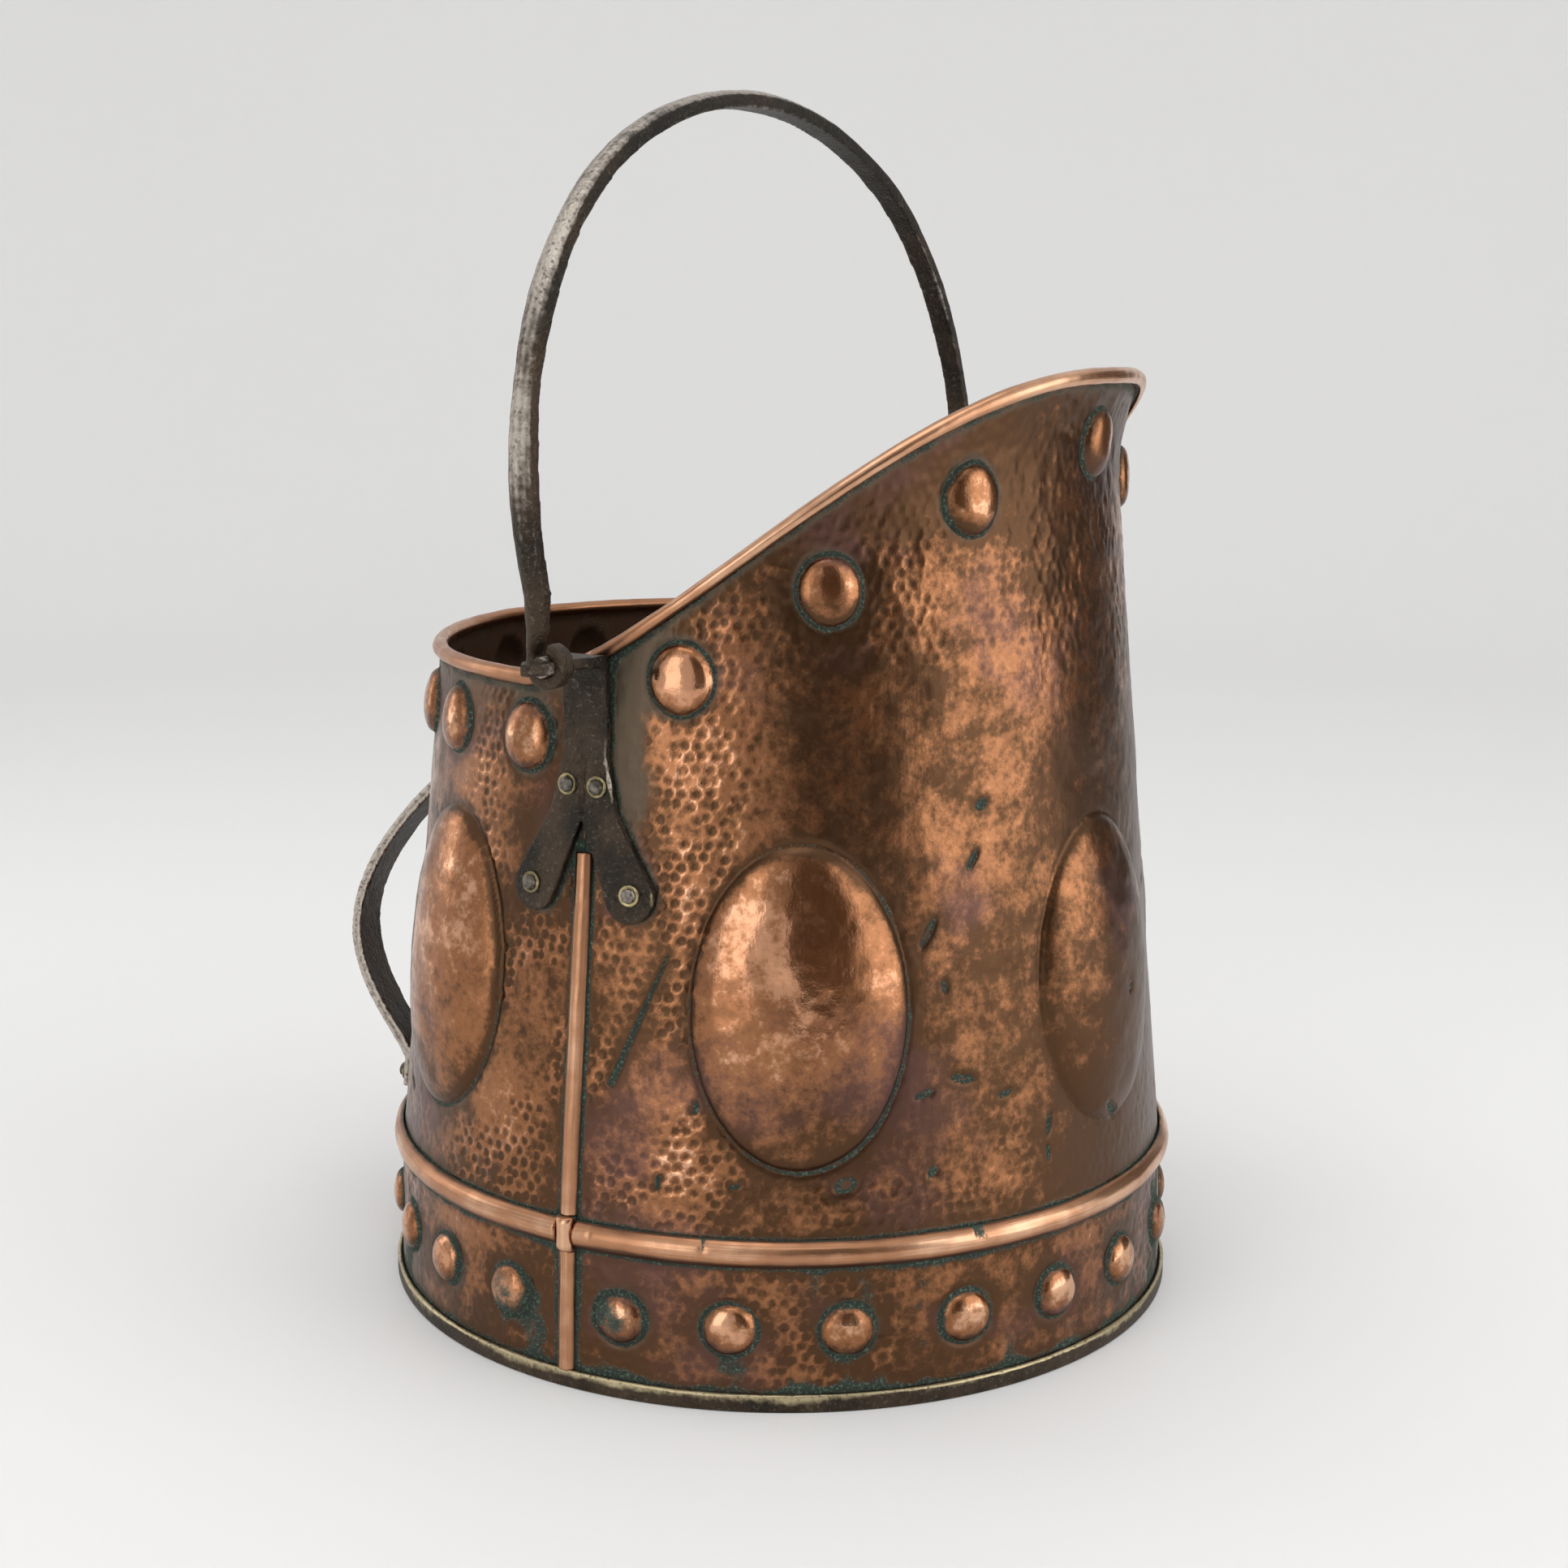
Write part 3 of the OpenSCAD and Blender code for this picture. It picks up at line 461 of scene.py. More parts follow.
def forged(name, node, finish, smooth_passes):
    """A copy of a CAD node, remeshed and softened as forged iron is, with its points and normals."""
    work = add_object("work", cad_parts[node].data.copy())
    shape = bmesh.new()
    shape.from_mesh(work.data)
    bmesh.ops.remove_doubles(shape, verts=shape.verts, dist=0.001 * MM)
    shape.to_mesh(work.data)
    shape.free()
    work.data.materials.clear()
    remesh = work.modifiers.new("Remesh", "REMESH")
    remesh.mode = "VOXEL"
    remesh.voxel_size = finish.forge_voxel * detail(1, 1.6)
    soften = work.modifiers.new("Soften", "SMOOTH")
    soften.factor = 0.5
    soften.iterations = smooth_passes
    ready = work.evaluated_get(bpy.context.evaluated_depsgraph_get())
    mesh = bpy.data.meshes.new_from_object(ready)
    bpy.data.objects.remove(work)
    mesh.name = name
    for layer in list(mesh.attributes):
        if not layer.is_required and not layer.is_internal:
            mesh.attributes.remove(layer)
    mesh.polygons.foreach_set("use_smooth", np.ones(len(mesh.polygons), bool))
    return add_object(name, mesh), *read_mesh(mesh)


def move_points(piece, points):
    """Moves a piece's points and returns its new normals."""
    piece.data.vertices.foreach_set("co", np.ascontiguousarray(points, np.float32).ravel())
    piece.data.update()
    return read_mesh(piece.data)[1]


# Materials ------------------------------------------------------------------------------------------------------

# Shades of the metals, the clean ones first
COPPER_RED, COPPER_PALE, COPPER_BROWN, COPPER_DARK = (
    (0.62, 0.305, 0.172), (0.70, 0.405, 0.25), (0.320, 0.140, 0.065), (0.098, 0.050, 0.026))
COPPER_VIOLET, COPPER_GREY = (0.145, 0.075, 0.078), (0.118, 0.088, 0.062)
CRUST_DARK, CRUST_PALE = (0.026, 0.036, 0.027), (0.098, 0.150, 0.108)
TRIM_CLEAN, TRIM_BROWN, TRIM_DARK, TRIM_CRUST = (
    (0.74, 0.45, 0.29), (0.44, 0.215, 0.115), (0.14, 0.07, 0.045), (0.042, 0.066, 0.048))
IRON_SCALE, IRON_RUST, IRON_PIT, IRON_GRAIN = (
    (0.030, 0.026, 0.021), (0.068, 0.045, 0.028), (0.03, 0.024, 0.02), (0.17, 0.15, 0.12))
BARE_IRON, BARE_BRASS = (0.47, 0.415, 0.36), (0.50, 0.41, 0.21)
PAPER_SHADES = (0.87, 0.867, 0.862), (0.90, 0.898, 0.894)
CLOTH_SHADES = (0.10, 0.082, 0.066), (0.22, 0.185, 0.155)


class Nodes:
    """The nodes of one tree, added by short names."""

    def __init__(self, tree):
        self.tree = tree

    def give(self, socket, value):
        """Links a socket to an input, or sets its value."""
        if isinstance(value, bpy.types.NodeSocket):
            self.tree.links.new(value, socket)
        else:
            socket.default_value = value

    def add(self, kind, inputs=None, **settings):
        """A node with its settings, and its inputs given by name or number as values or sockets."""
        made = self.tree.nodes.new(kind)
        for key, value in settings.items():
            setattr(made, key, value)
        for key, value in (inputs or {}).items():
            self.give(made.inputs[key], value)
        return made

    def calc(self, operation, *values, clamp=False):
        made = self.add("ShaderNodeMath", dict(enumerate(values)), operation=operation, use_clamp=clamp)
        return made.outputs[0]

    def scaled(self, value, gain, base, clamp=False):
        """value * gain + base"""
        return self.calc("MULTIPLY_ADD", value, gain, base, clamp=clamp)

    def centred(self, value, gain, base, clamp=False):
        """(value - 0.5) * gain + base"""
        return self.scaled(self.calc("SUBTRACT", value, 0.5), gain, base, clamp=clamp)

    def spread(self, value, low, high, to_low=0.0, to_high=1.0):
        """A smooth Map Range from low..high to to_low..to_high."""
        ends = {"Value": value, "From Min": low, "From Max": high, "To Min": to_low, "To Max": to_high}
        return self.add("ShaderNodeMapRange", ends, interpolation_type="SMOOTHSTEP").outputs["Result"]

    def mix(self, factor, a, b):
        """A mix of two colours."""
        a, b = ((*c, 1) if isinstance(c, tuple) else c for c in (a, b))
        return self.add("ShaderNodeMix", {0: factor, 6: a, 7: b}, data_type="RGBA").outputs[2]

    def place(self):
        return self.add("ShaderNodeTexCoord").outputs["Object"]

    def cloud(self, place, scale, detail=3.0, roughness=0.55, stretch=None):
        """Noise at a place, from about 0 to 1."""
        if stretch:
            place = self.add("ShaderNodeVectorMath", {0: place, 1: stretch}, operation="MULTIPLY").outputs[0]
        made = self.add("ShaderNodeTexNoise", {"Vector": place, "Scale": scale, "Detail": detail,
                                               "Roughness": roughness})
        return made.outputs["Fac"]

    def bump(self, height, strength, distance):
        made = self.add("ShaderNodeBump", {"Height": height, "Strength": strength, "Distance": distance})
        return made.outputs[0]

    def put_out(self, end, **sockets):
        """Links sockets to the inputs of a node, with spaces in their names for underscores."""
        for name, socket in sockets.items():
            self.give(end.inputs[name.replace("_", " ")], socket)


def new_group(name, **inputs):
    """A shader node group that puts out a surface from number inputs: (its nodes, input sockets, output node)."""
    tree = bpy.data.node_groups.new(name, "ShaderNodeTree")
    for label, default in inputs.items():
        tree.interface.new_socket(label, in_out="INPUT", socket_type="NodeSocketFloat").default_value = default
    tree.interface.new_socket("Color", in_out="OUTPUT", socket_type="NodeSocketColor")
    for label in ("Roughness", "Metallic", "Height"):
        tree.interface.new_socket(label, in_out="OUTPUT", socket_type="NodeSocketFloat")
    n = Nodes(tree)
    return n, n.add("NodeGroupInput").outputs, n.add("NodeGroupOutput")


def copper_group(name):
    """Old copper: clean metal, brown patina, violet tarnish, grey tarnish and green crust in the crevices."""
    n, given, end = new_group(name, Patina=0.3, Polish=0.0, Verdigris=0.0, Grey=0.0, Dull=0.0)
    place = n.place()
    broad, middle = n.cloud(place, 22, 4, 0.6), n.cloud(place, 110, 4, 0.6)
    fine, drift = n.cloud(place, 900, 2), n.cloud(place, 9, 2)
    strokes, wrinkles = n.cloud(place, 420, 2, 0.6, stretch=(1, 1, 0.09)), n.cloud(place, 300, 3, 0.7)
    # How brown the metal is
    brown = n.scaled(broad, 0.9, n.scaled(middle, 0.75, given["Patina"]))
    brown = n.calc("SUBTRACT", brown, n.scaled(given["Polish"], 0.45, 0.62))
    brown = n.centred(wrinkles, -0.9, brown)
    colour = n.mix(n.spread(drift, 0.35, 0.65), COPPER_RED, COPPER_PALE)
    colour = n.mix(n.spread(brown, 0.02, 0.40), colour, COPPER_BROWN)
    colour = n.mix(n.spread(brown, 0.40, 0.92), colour, COPPER_DARK)
    # Violet and grey tarnish
    violet = n.calc("MULTIPLY", n.spread(n.cloud(place, 15, 3), 0.52, 0.68), n.spread(brown, 0.2, 0.7, 0.0, 0.40))
    colour = n.mix(violet, colour, COPPER_VIOLET)
    grey = n.scaled(broad, 0.6, n.scaled(wrinkles, 0.5, given["Grey"]))
    grey = n.spread(grey, 0.85, 1.25)
    colour = n.mix(grey, colour, COPPER_GREY)
    # Green crust
    crust = n.scaled(broad, 0.55, n.calc("MULTIPLY", middle, 0.55))
    crust = n.scaled(fine, 0.40, n.calc("ADD", crust, given["Verdigris"]))
    crust = n.spread(crust, 1.12, 1.42)
    colour = n.mix(crust, colour, n.mix(n.spread(fine, 0.50, 0.72), CRUST_DARK, CRUST_PALE))
    # Polishing strokes, tarnish and crust take the shine away
    shine = n.scaled(n.spread(brown, 0.0, 0.9), 0.20, 0.135)
    shine = n.centred(strokes, 0.12, shine)
    shine = n.scaled(grey, 0.14, n.scaled(given["Dull"], 0.4, shine))
    shine = n.scaled(crust, 0.5, shine, clamp=True)
    height = n.scaled(strokes, 0.22, n.scaled(middle, 0.35, n.calc("MULTIPLY", fine, 0.12)))
    height = n.scaled(n.calc("MULTIPLY", crust, fine), 1.6, height)
    height = n.scaled(wrinkles, 0.30, height)
    metal = n.scaled(given["Dull"], -0.6, n.scaled(crust, -0.85, 1.0), clamp=True)
    n.put_out(end, Color=colour, Roughness=shine, Height=height, Metallic=metal)
    return n.tree


def trim_group(name):
    """Drawn copper trim: polished along its length, brown in its flanks and green where it meets the sheet."""
    n, given, end = new_group(name, Patina=0.2, Verdigris=0.0)
    along, place = n.add("ShaderNodeUVMap", uv_map="Along").outputs[0], n.place()
    lines = n.cloud(along, 1.0, 3, 0.6, stretch=(22, 1500, 1))
    broad, middle, fine = n.cloud(place, 16, 3), n.cloud(place, 130, 3), n.cloud(place, 1000, 2)
    brown = n.scaled(broad, 0.8, n.scaled(lines, 0.55, given["Patina"]))
    brown = n.scaled(middle, 0.35, brown)
    colour = n.mix(n.spread(brown, 0.72, 1.18), TRIM_CLEAN, TRIM_BROWN)
    colour = n.mix(n.spread(brown, 1.15, 1.75), colour, TRIM_DARK)
    crust = n.scaled(fine, 0.5, n.scaled(middle, 0.6, given["Verdigris"]))
    crust = n.spread(crust, 0.98, 1.3)
    colour = n.mix(crust, colour, TRIM_CRUST)
    shine = n.scaled(n.spread(brown, 0.7, 1.6), 0.2, 0.2)
    shine = n.scaled(crust, 0.5, shine, clamp=True)
    height = n.scaled(lines, 0.6, n.scaled(middle, 0.4, n.calc("MULTIPLY", crust, 0.9)))
    n.put_out(end, Color=colour, Roughness=shine, Height=height, Metallic=n.scaled(crust, -0.85, 1.0))
    return n.tree


def iron_group(name):
    """Old forged iron: black scale with brown rust, pits, and bare metal where hands and edges have worn it."""
    n, given, end = new_group(name, Wear=0.0, Rust=0.3, Brassy=0.0)
    place = n.place()
    broad, middle = n.cloud(place, 35, 4, 0.6), n.cloud(place, 260, 4, 0.6)
    fine, grain = n.cloud(place, 1100, 2), n.cloud(place, 620, 3, 0.7)
    pits = n.add("ShaderNodeTexVoronoi", {"Vector": place, "Scale": 420, "Randomness": 1.0})
    pits = n.spread(pits.outputs["Distance"], 0.05, 0.42)
    bare = n.scaled(middle, 0.55, n.scaled(broad, 0.45, given["Wear"]))
    bare = n.spread(bare, 0.84, 1.24)
    rusty = n.scaled(middle, 0.5, n.scaled(broad, 0.7, given["Rust"]))
    rusty = n.spread(rusty, 0.72, 1.25)
    colour = n.mix(rusty, IRON_SCALE, IRON_RUST)
    colour = n.mix(bare, colour, n.mix(given["Brassy"], BARE_IRON, BARE_BRASS))
    colour = n.mix(n.calc("MULTIPLY", n.calc("SUBTRACT", 1.0, pits), 0.55), colour, IRON_PIT)
    colour = n.mix(n.spread(grain, 0.54, 0.74, 0.0, 0.75), colour, IRON_GRAIN)
    shine = n.scaled(bare, -0.17, n.scaled(rusty, 0.1, 0.44))
    shine = n.centred(grain, 0.5, shine, clamp=True)
    height = n.scaled(pits, 0.55, n.scaled(middle, 0.9, n.scaled(fine, 0.35, grain)))
    n.put_out(end, Color=colour, Roughness=shine, Height=height, Metallic=n.scaled(rusty, -0.22, 0.95))
    return n.tree


GROUPS = {"Old Copper": copper_group, "Drawn Copper": trim_group, "Forged Iron": iron_group}
# Masks that the pieces carry for the materials, named as the groups' inputs are
COPPER_MASKS, TRIM_MASKS, IRON_MASKS = (
    ("Patina", "Verdigris", "Polish", "Grey"), ("Patina", "Verdigris"), ("Wear", "Rust", "Brassy"))
# Each metal's group, the height of its bumps in mm, its masks and its own values in the group
METALS = {
    "Wall copper": ("Old Copper", 0.26, COPPER_MASKS, {}),
    "Inner copper": ("Old Copper", 0.5, (), {"Patina": 0.95, "Verdigris": 0.34, "Dull": 0.8}),
    "Trim copper": ("Drawn Copper", 0.12, TRIM_MASKS, {}),
    "Wrought iron": ("Forged Iron", 0.55, IRON_MASKS, {}),
    "Foot hoop metal": ("Forged Iron", 0.2, IRON_MASKS, {}),
    "Rivet iron": ("Forged Iron", 0.12, (), {"Wear": 0.48, "Rust": 0.12}),
    "Rivet brass": ("Forged Iron", 0.1, (), {"Wear": 0.56, "Rust": 0.25, "Brassy": 1.0}),
    "Hidden wire iron": ("Forged Iron", 0.15, (), {"Wear": 0.0, "Rust": 0.5}),
}


def new_material(name):
    """A new material: (itself, its nodes, its Principled shader)."""
    made = bpy.data.materials.new(name)
    made.use_nodes = True
    return made, Nodes(made.node_tree), made.node_tree.nodes["Principled BSDF"]


def metal(name):
    """One of the scuttle's metals, made the first time that it is asked for."""
    if name in bpy.data.materials:
        return bpy.data.materials[name]
    group, bump, masks, values = METALS[name]
    made, n, shader = new_material(name)
    use = n.add("ShaderNodeGroup", values, node_tree=bpy.data.node_groups.get(group) or GROUPS[group](group))
    for mask in masks:
        n.give(use.inputs[mask], n.add("ShaderNodeAttribute", attribute_name=mask.lower()).outputs["Fac"])
    surface = use.outputs
    n.put_out(shader, Base_Color=surface["Color"], Roughness=surface["Roughness"], Metallic=surface["Metallic"],
              Normal=n.bump(surface["Height"], 1.0, bump * MM))
    return made


# Copper body ----------------------------------------------------------------------------------------------------

# Depth and width of the chased groove round a boss
GROOVE_DEEP, GROOVE_WIDE = 0.5 * MM, 1.3 * MM


class Wall:
    """The worked outer face of a sheet over a grid of directions and heights, with its masks."""

    def __init__(self, form, finish, a, z):
        self.form, self.finish, self.a, self.z = form, finish, a, z
        self.s = np.radians(a) * WALL_ARC_R
        self.at = form.points(a, form.wall_r(z), z)
        for layer in ("relief", "marks", "smooth", "patina", "verdigris", "polish", "grey"):
            setattr(self, layer, np.zeros(a.shape))
        self.patina += 0.45

    def boss(self, direction, height, r, proud, power=0.5):
        """A round boss with a chased groove round it."""
        x, y = self.form.away(self.a, direction), self.z - height
        r = r * (1 + 0.03 * noise(np.stack([x, y, 0 * x], -1) + direction, 9 * MM, 2))
        d = np.hypot(x, y)
        gap, beside = np.maximum(d - r, 0), d > r
        self.relief += proud * np.clip(1 - (d / r) ** 2, 0, 1) ** power
        self.relief -= GROOVE_DEEP * bell(d - r - 0.8 * MM, GROOVE_WIDE)
        self.verdigris += 0.72 * bell(d - r - 0.5 * MM, 1.05 * MM) + 0.14 * bell(gap, 4 * MM)
        self.grey += 0.55 * bell(gap, 4 * MM) * beside
        self.patina += 0.5 * bell(gap, 4.5 * MM) * beside
        on = ramp(r - d, -1.0 * MM, 2.0 * MM)
        self.smooth = np.maximum(self.smooth, on)
        self.polish += 0.75 * ramp(r - d, 1.5 * MM, 5 * MM)
        # Browner towards the bottom of the boss and cleaner at its top: painted shade on the lower half and a
        # painted highlight on the upper half
        self.patina += on * (0.45 * ramp(-y / r, -0.1, 0.9) - 0.3)

    def oval(self, direction, worked):
        """One of the large oval bosses, and how sharply it is worked and polished."""
        s = self.form.s
        turn = self.form.away(self.a, direction) / WALL_ARC_R
        u = turn * float(self.form.wall_r(s.oval_z)) / (s.oval_w / 2)
        v = (self.z - s.oval_z) / (s.oval_h / 2)
        q = np.sqrt(u * u + v * v)
        self.relief += s.oval_proud * np.clip(1 - q * q, 0, 1) ** 0.6
        gap = (q - 1) * (s.oval_w + s.oval_h) / 4
        crease = bell(gap - 0.6 * MM, GROOVE_WIDE)
        self.relief -= GROOVE_DEEP * crease * worked
        # The foot weights the crease's green crust and the brown halo towards the bottom of the oval and to one
        # side: the crust is the metal's own, and the heavier brown halo there is painted shade under and beside
        # the boss
        foot = np.clip(0.45 - 0.35 * v + 0.25 * u * np.sign(90 - abs(direction)), 0.1, 1)
        self.verdigris += crease * (0.35 + 0.5 * foot) * worked
        self.patina += worked * (0.45 * bell(gap, 3.5 * MM) + 0.3 * bell(gap - 3 * MM, 7 * MM) * foot)
        on = ramp(-gap, 0, 4 * MM)
        self.smooth = np.maximum(self.smooth, 0.85 * on)
        self.marks += on * MM * (0.30 * noise(self.at, 15 * MM, 5) + 0.16 * noise(self.at, 6.5 * MM, 6))
        self.polish += 0.30 * on * worked
        # Browner towards the bottom of the oval and cleaner at its top: painted shade below and a painted
        # highlight above
        self.patina += on * (0.34 * ramp(-v, -0.1, 0.9) - 0.12)

    def hammer(self, amount):
        """Ball-peen blows in patches, and the soft waves of planishing."""
        f = self.finish
        best, second, luck = blows(self.s, self.z, 2 * math.pi * WALL_ARC_R, f.blow_size)
        patch = ramp(noise(self.at, 26 * MM, 8), -0.50, 0.15)
        strength = amount * (0.12 + 0.88 * patch) * (1 - self.smooth) * ramp(luck, 0.04, 0.45)
        bowl = np.clip(1 - (best / (0.47 * f.blow_size)) ** 2, 0, 1) ** 0.6
        lip = np.maximum(bell(best - 0.42 * f.blow_size, 0.095 * f.blow_size),
                         0.6 * bell(second - best, 0.13 * f.blow_size))
        self.marks -= f.blow_depth * strength * (0.75 + 0.5 * luck) * bowl
        self.marks += 0.09 * MM * strength * lip
        self.patina += 0.42 * strength * bowl - 0.06 * strength
        self.polish += 0.85 * strength * lip
        wave = noise(self.at, 26 * MM, 3) + 0.55 * noise(self.at, 13 * MM, 4)
        self.marks += f.planish * wave * (0.55 + 0.45 * (1 - amount)) * (1 - 0.5 * self.smooth)
        pebbled = 1 + 1.4 * ramp(self.z, 0.25, 0.31) * (1 - self.smooth)
        pebbles, grit = noise(self.at, 6 * MM, 5), noise(self.at, 3 * MM, 6)
        self.marks += 0.12 * MM * pebbled * pebbles + 0.075 * MM * pebbled * grit
        self.patina += 0.25 * rough(self.at, 45 * MM, 7) + 0.16 * noise(self.at, 7 * MM, 9)

    def gouge(self, direction, height, long, wide, deep, turn):
        """A gouge with green crust in it and a brown halo round it."""
        across, middle = self.form.away(self.a, direction), (0, height * MM)
        spot, halo = (slot_mark(across, self.z, middle, long * MM * grow_l, wide * MM * grow_w, turn)
                      for grow_l, grow_w in ((0.5, 0.5), (0.85, 1.2)))
        self.marks -= deep * MM * spot ** 0.7
        self.verdigris += 1.1 * ramp(spot, 0.1, 0.6)
        self.patina += 0.35 * halo

    def scratch(self, ends):
        """A long scratch that widens from one end to the other."""
        (a0, z0, w0), (a1, z1, w1) = ends
        x, y = self.form.away(self.a, a0), self.z - z0 * MM
        dx, dy = math.radians(a1 - a0) * WALL_ARC_R, (z1 - z0) * MM
        t = np.clip((x * dx + y * dy) / (dx * dx + dy * dy), 0, 1)
        d = np.hypot(x - t * dx, y - t * dy)
        half = (w0 + (w1 - w0) * t) * MM
        cut = np.clip(1 - (d / half) ** 2, 0, 1)
        self.marks -= 0.9 * MM * cut
        self.verdigris += 1.2 * ramp(cut, 0.0, 0.5)
        self.patina += 0.4 * bell(d, 3.5 * MM)

    def near(self, *places):
        """Green crust and darkening beside things, some of it painted shade: distance, width of the band in mm,
        and how green and brown it is.
        """
        for distance, width, green, brown in places:
            close = bell(np.maximum(distance, 0), width * MM)
            self.verdigris += green * close
            self.patina += brown * close
            self.grey += 0.8 * brown * close

    def masks(self, others, patina=0.0):
        """The masks of this face and of the other points of each ring, which only have some patina."""
        found = {}
        for key in (mask.lower() for mask in COPPER_MASKS):
            rest = np.zeros((len(self.a), others)) + (patina if key == "patina" else 0.0)
            found[key] = np.concatenate([getattr(self, key), rest], 1)
        return found


def leg_distance(form, a, z):
    """Distance over the wall to the outline of the nearer lug, and along the wall to its middle."""
    s = form.s
    x, legs = form.away(a, form.lug_side(a)), []
    for way in (-1, 1):
        p, q = (way * s.leg_spread, form.leg_rivet_z), (way * s.lug_crotch_w / 4, s.lug_crotch_z)
        dx, dy = q[0] - p[0], q[1] - p[1]
        t = np.clip(((x - p[0]) * dx + (z - p[1]) * dy) / (dx * dx + dy * dy), 0, 1)
        legs.append(np.hypot(x - p[0] - t * dx, z - p[1] - t * dy) - (0.5 - 0.12 * t) * s.leg_end_w)
    up = ramp(z, s.lug_crotch_z, s.lug_split_z)
    strap_w = s.lug_crotch_w + (s.lug_w - s.lug_crotch_w) * up
    strap = np.maximum(np.abs(x) - strap_w / 2, s.lug_crotch_z - z)
    return np.minimum.reduce([*legs, strap]), x


def hammered_amount(form, a, z):
    """How deep the ball-peen marks are, most beside the seams, and where the skin ahead of the lug is bare."""
    turn = np.abs((a + 180) % 360 - 180)
    x, behind = np.abs(turn - 90), turn > 90
    at = form.points(a, WALL_ARC_R, z)
    patch, edge = rough(at, 60 * MM, 8), rough(at, 14 * MM, 5)
    seam = 1 - ramp(x + 4 * patch, 18, 30)
    amount = np.where(behind, 0.35 + 0.65 * seam, 0.95 * seam)
    high = ramp(z, 0.25, 0.31) * 0.40 * ~behind * ramp(x, 10, 25)
    low = (1 - ramp(z, 0.10, 0.16)) * 0.32
    soft = 0.04 + 0.16 * np.clip(patch, 0, 1)
    bare = (1 - ramp(x + 2.5 * edge, 6.5, 13)) * ramp(z + 6 * MM * edge, 0.212, 0.238) * ~behind
    return np.clip(np.maximum.reduce([amount, high, low, soft]) + 0.15 * patch, 0.02, 1) * (1 - bare), bare


def half_turn(start, arc_r, height, finish):
    """Half of the body's points: the directions of the columns, their number, and the steps up a height."""
    step = finish.wall_step * detail(1, 2.2)
    columns = int(math.pi * arc_r / step)
    return start + 180 * np.arange(columns + 1)[:, None] / columns, columns, height / step


def ring_finishes(columns, points, starts):
    """The number of each face's finish: the next one starts at each start, and the last is on the two ends."""
    ring = np.zeros(points, int)
    for start in starts:
        ring[start:] += 1
    return np.concatenate([np.tile(ring, columns), [len(starts)] * 2])


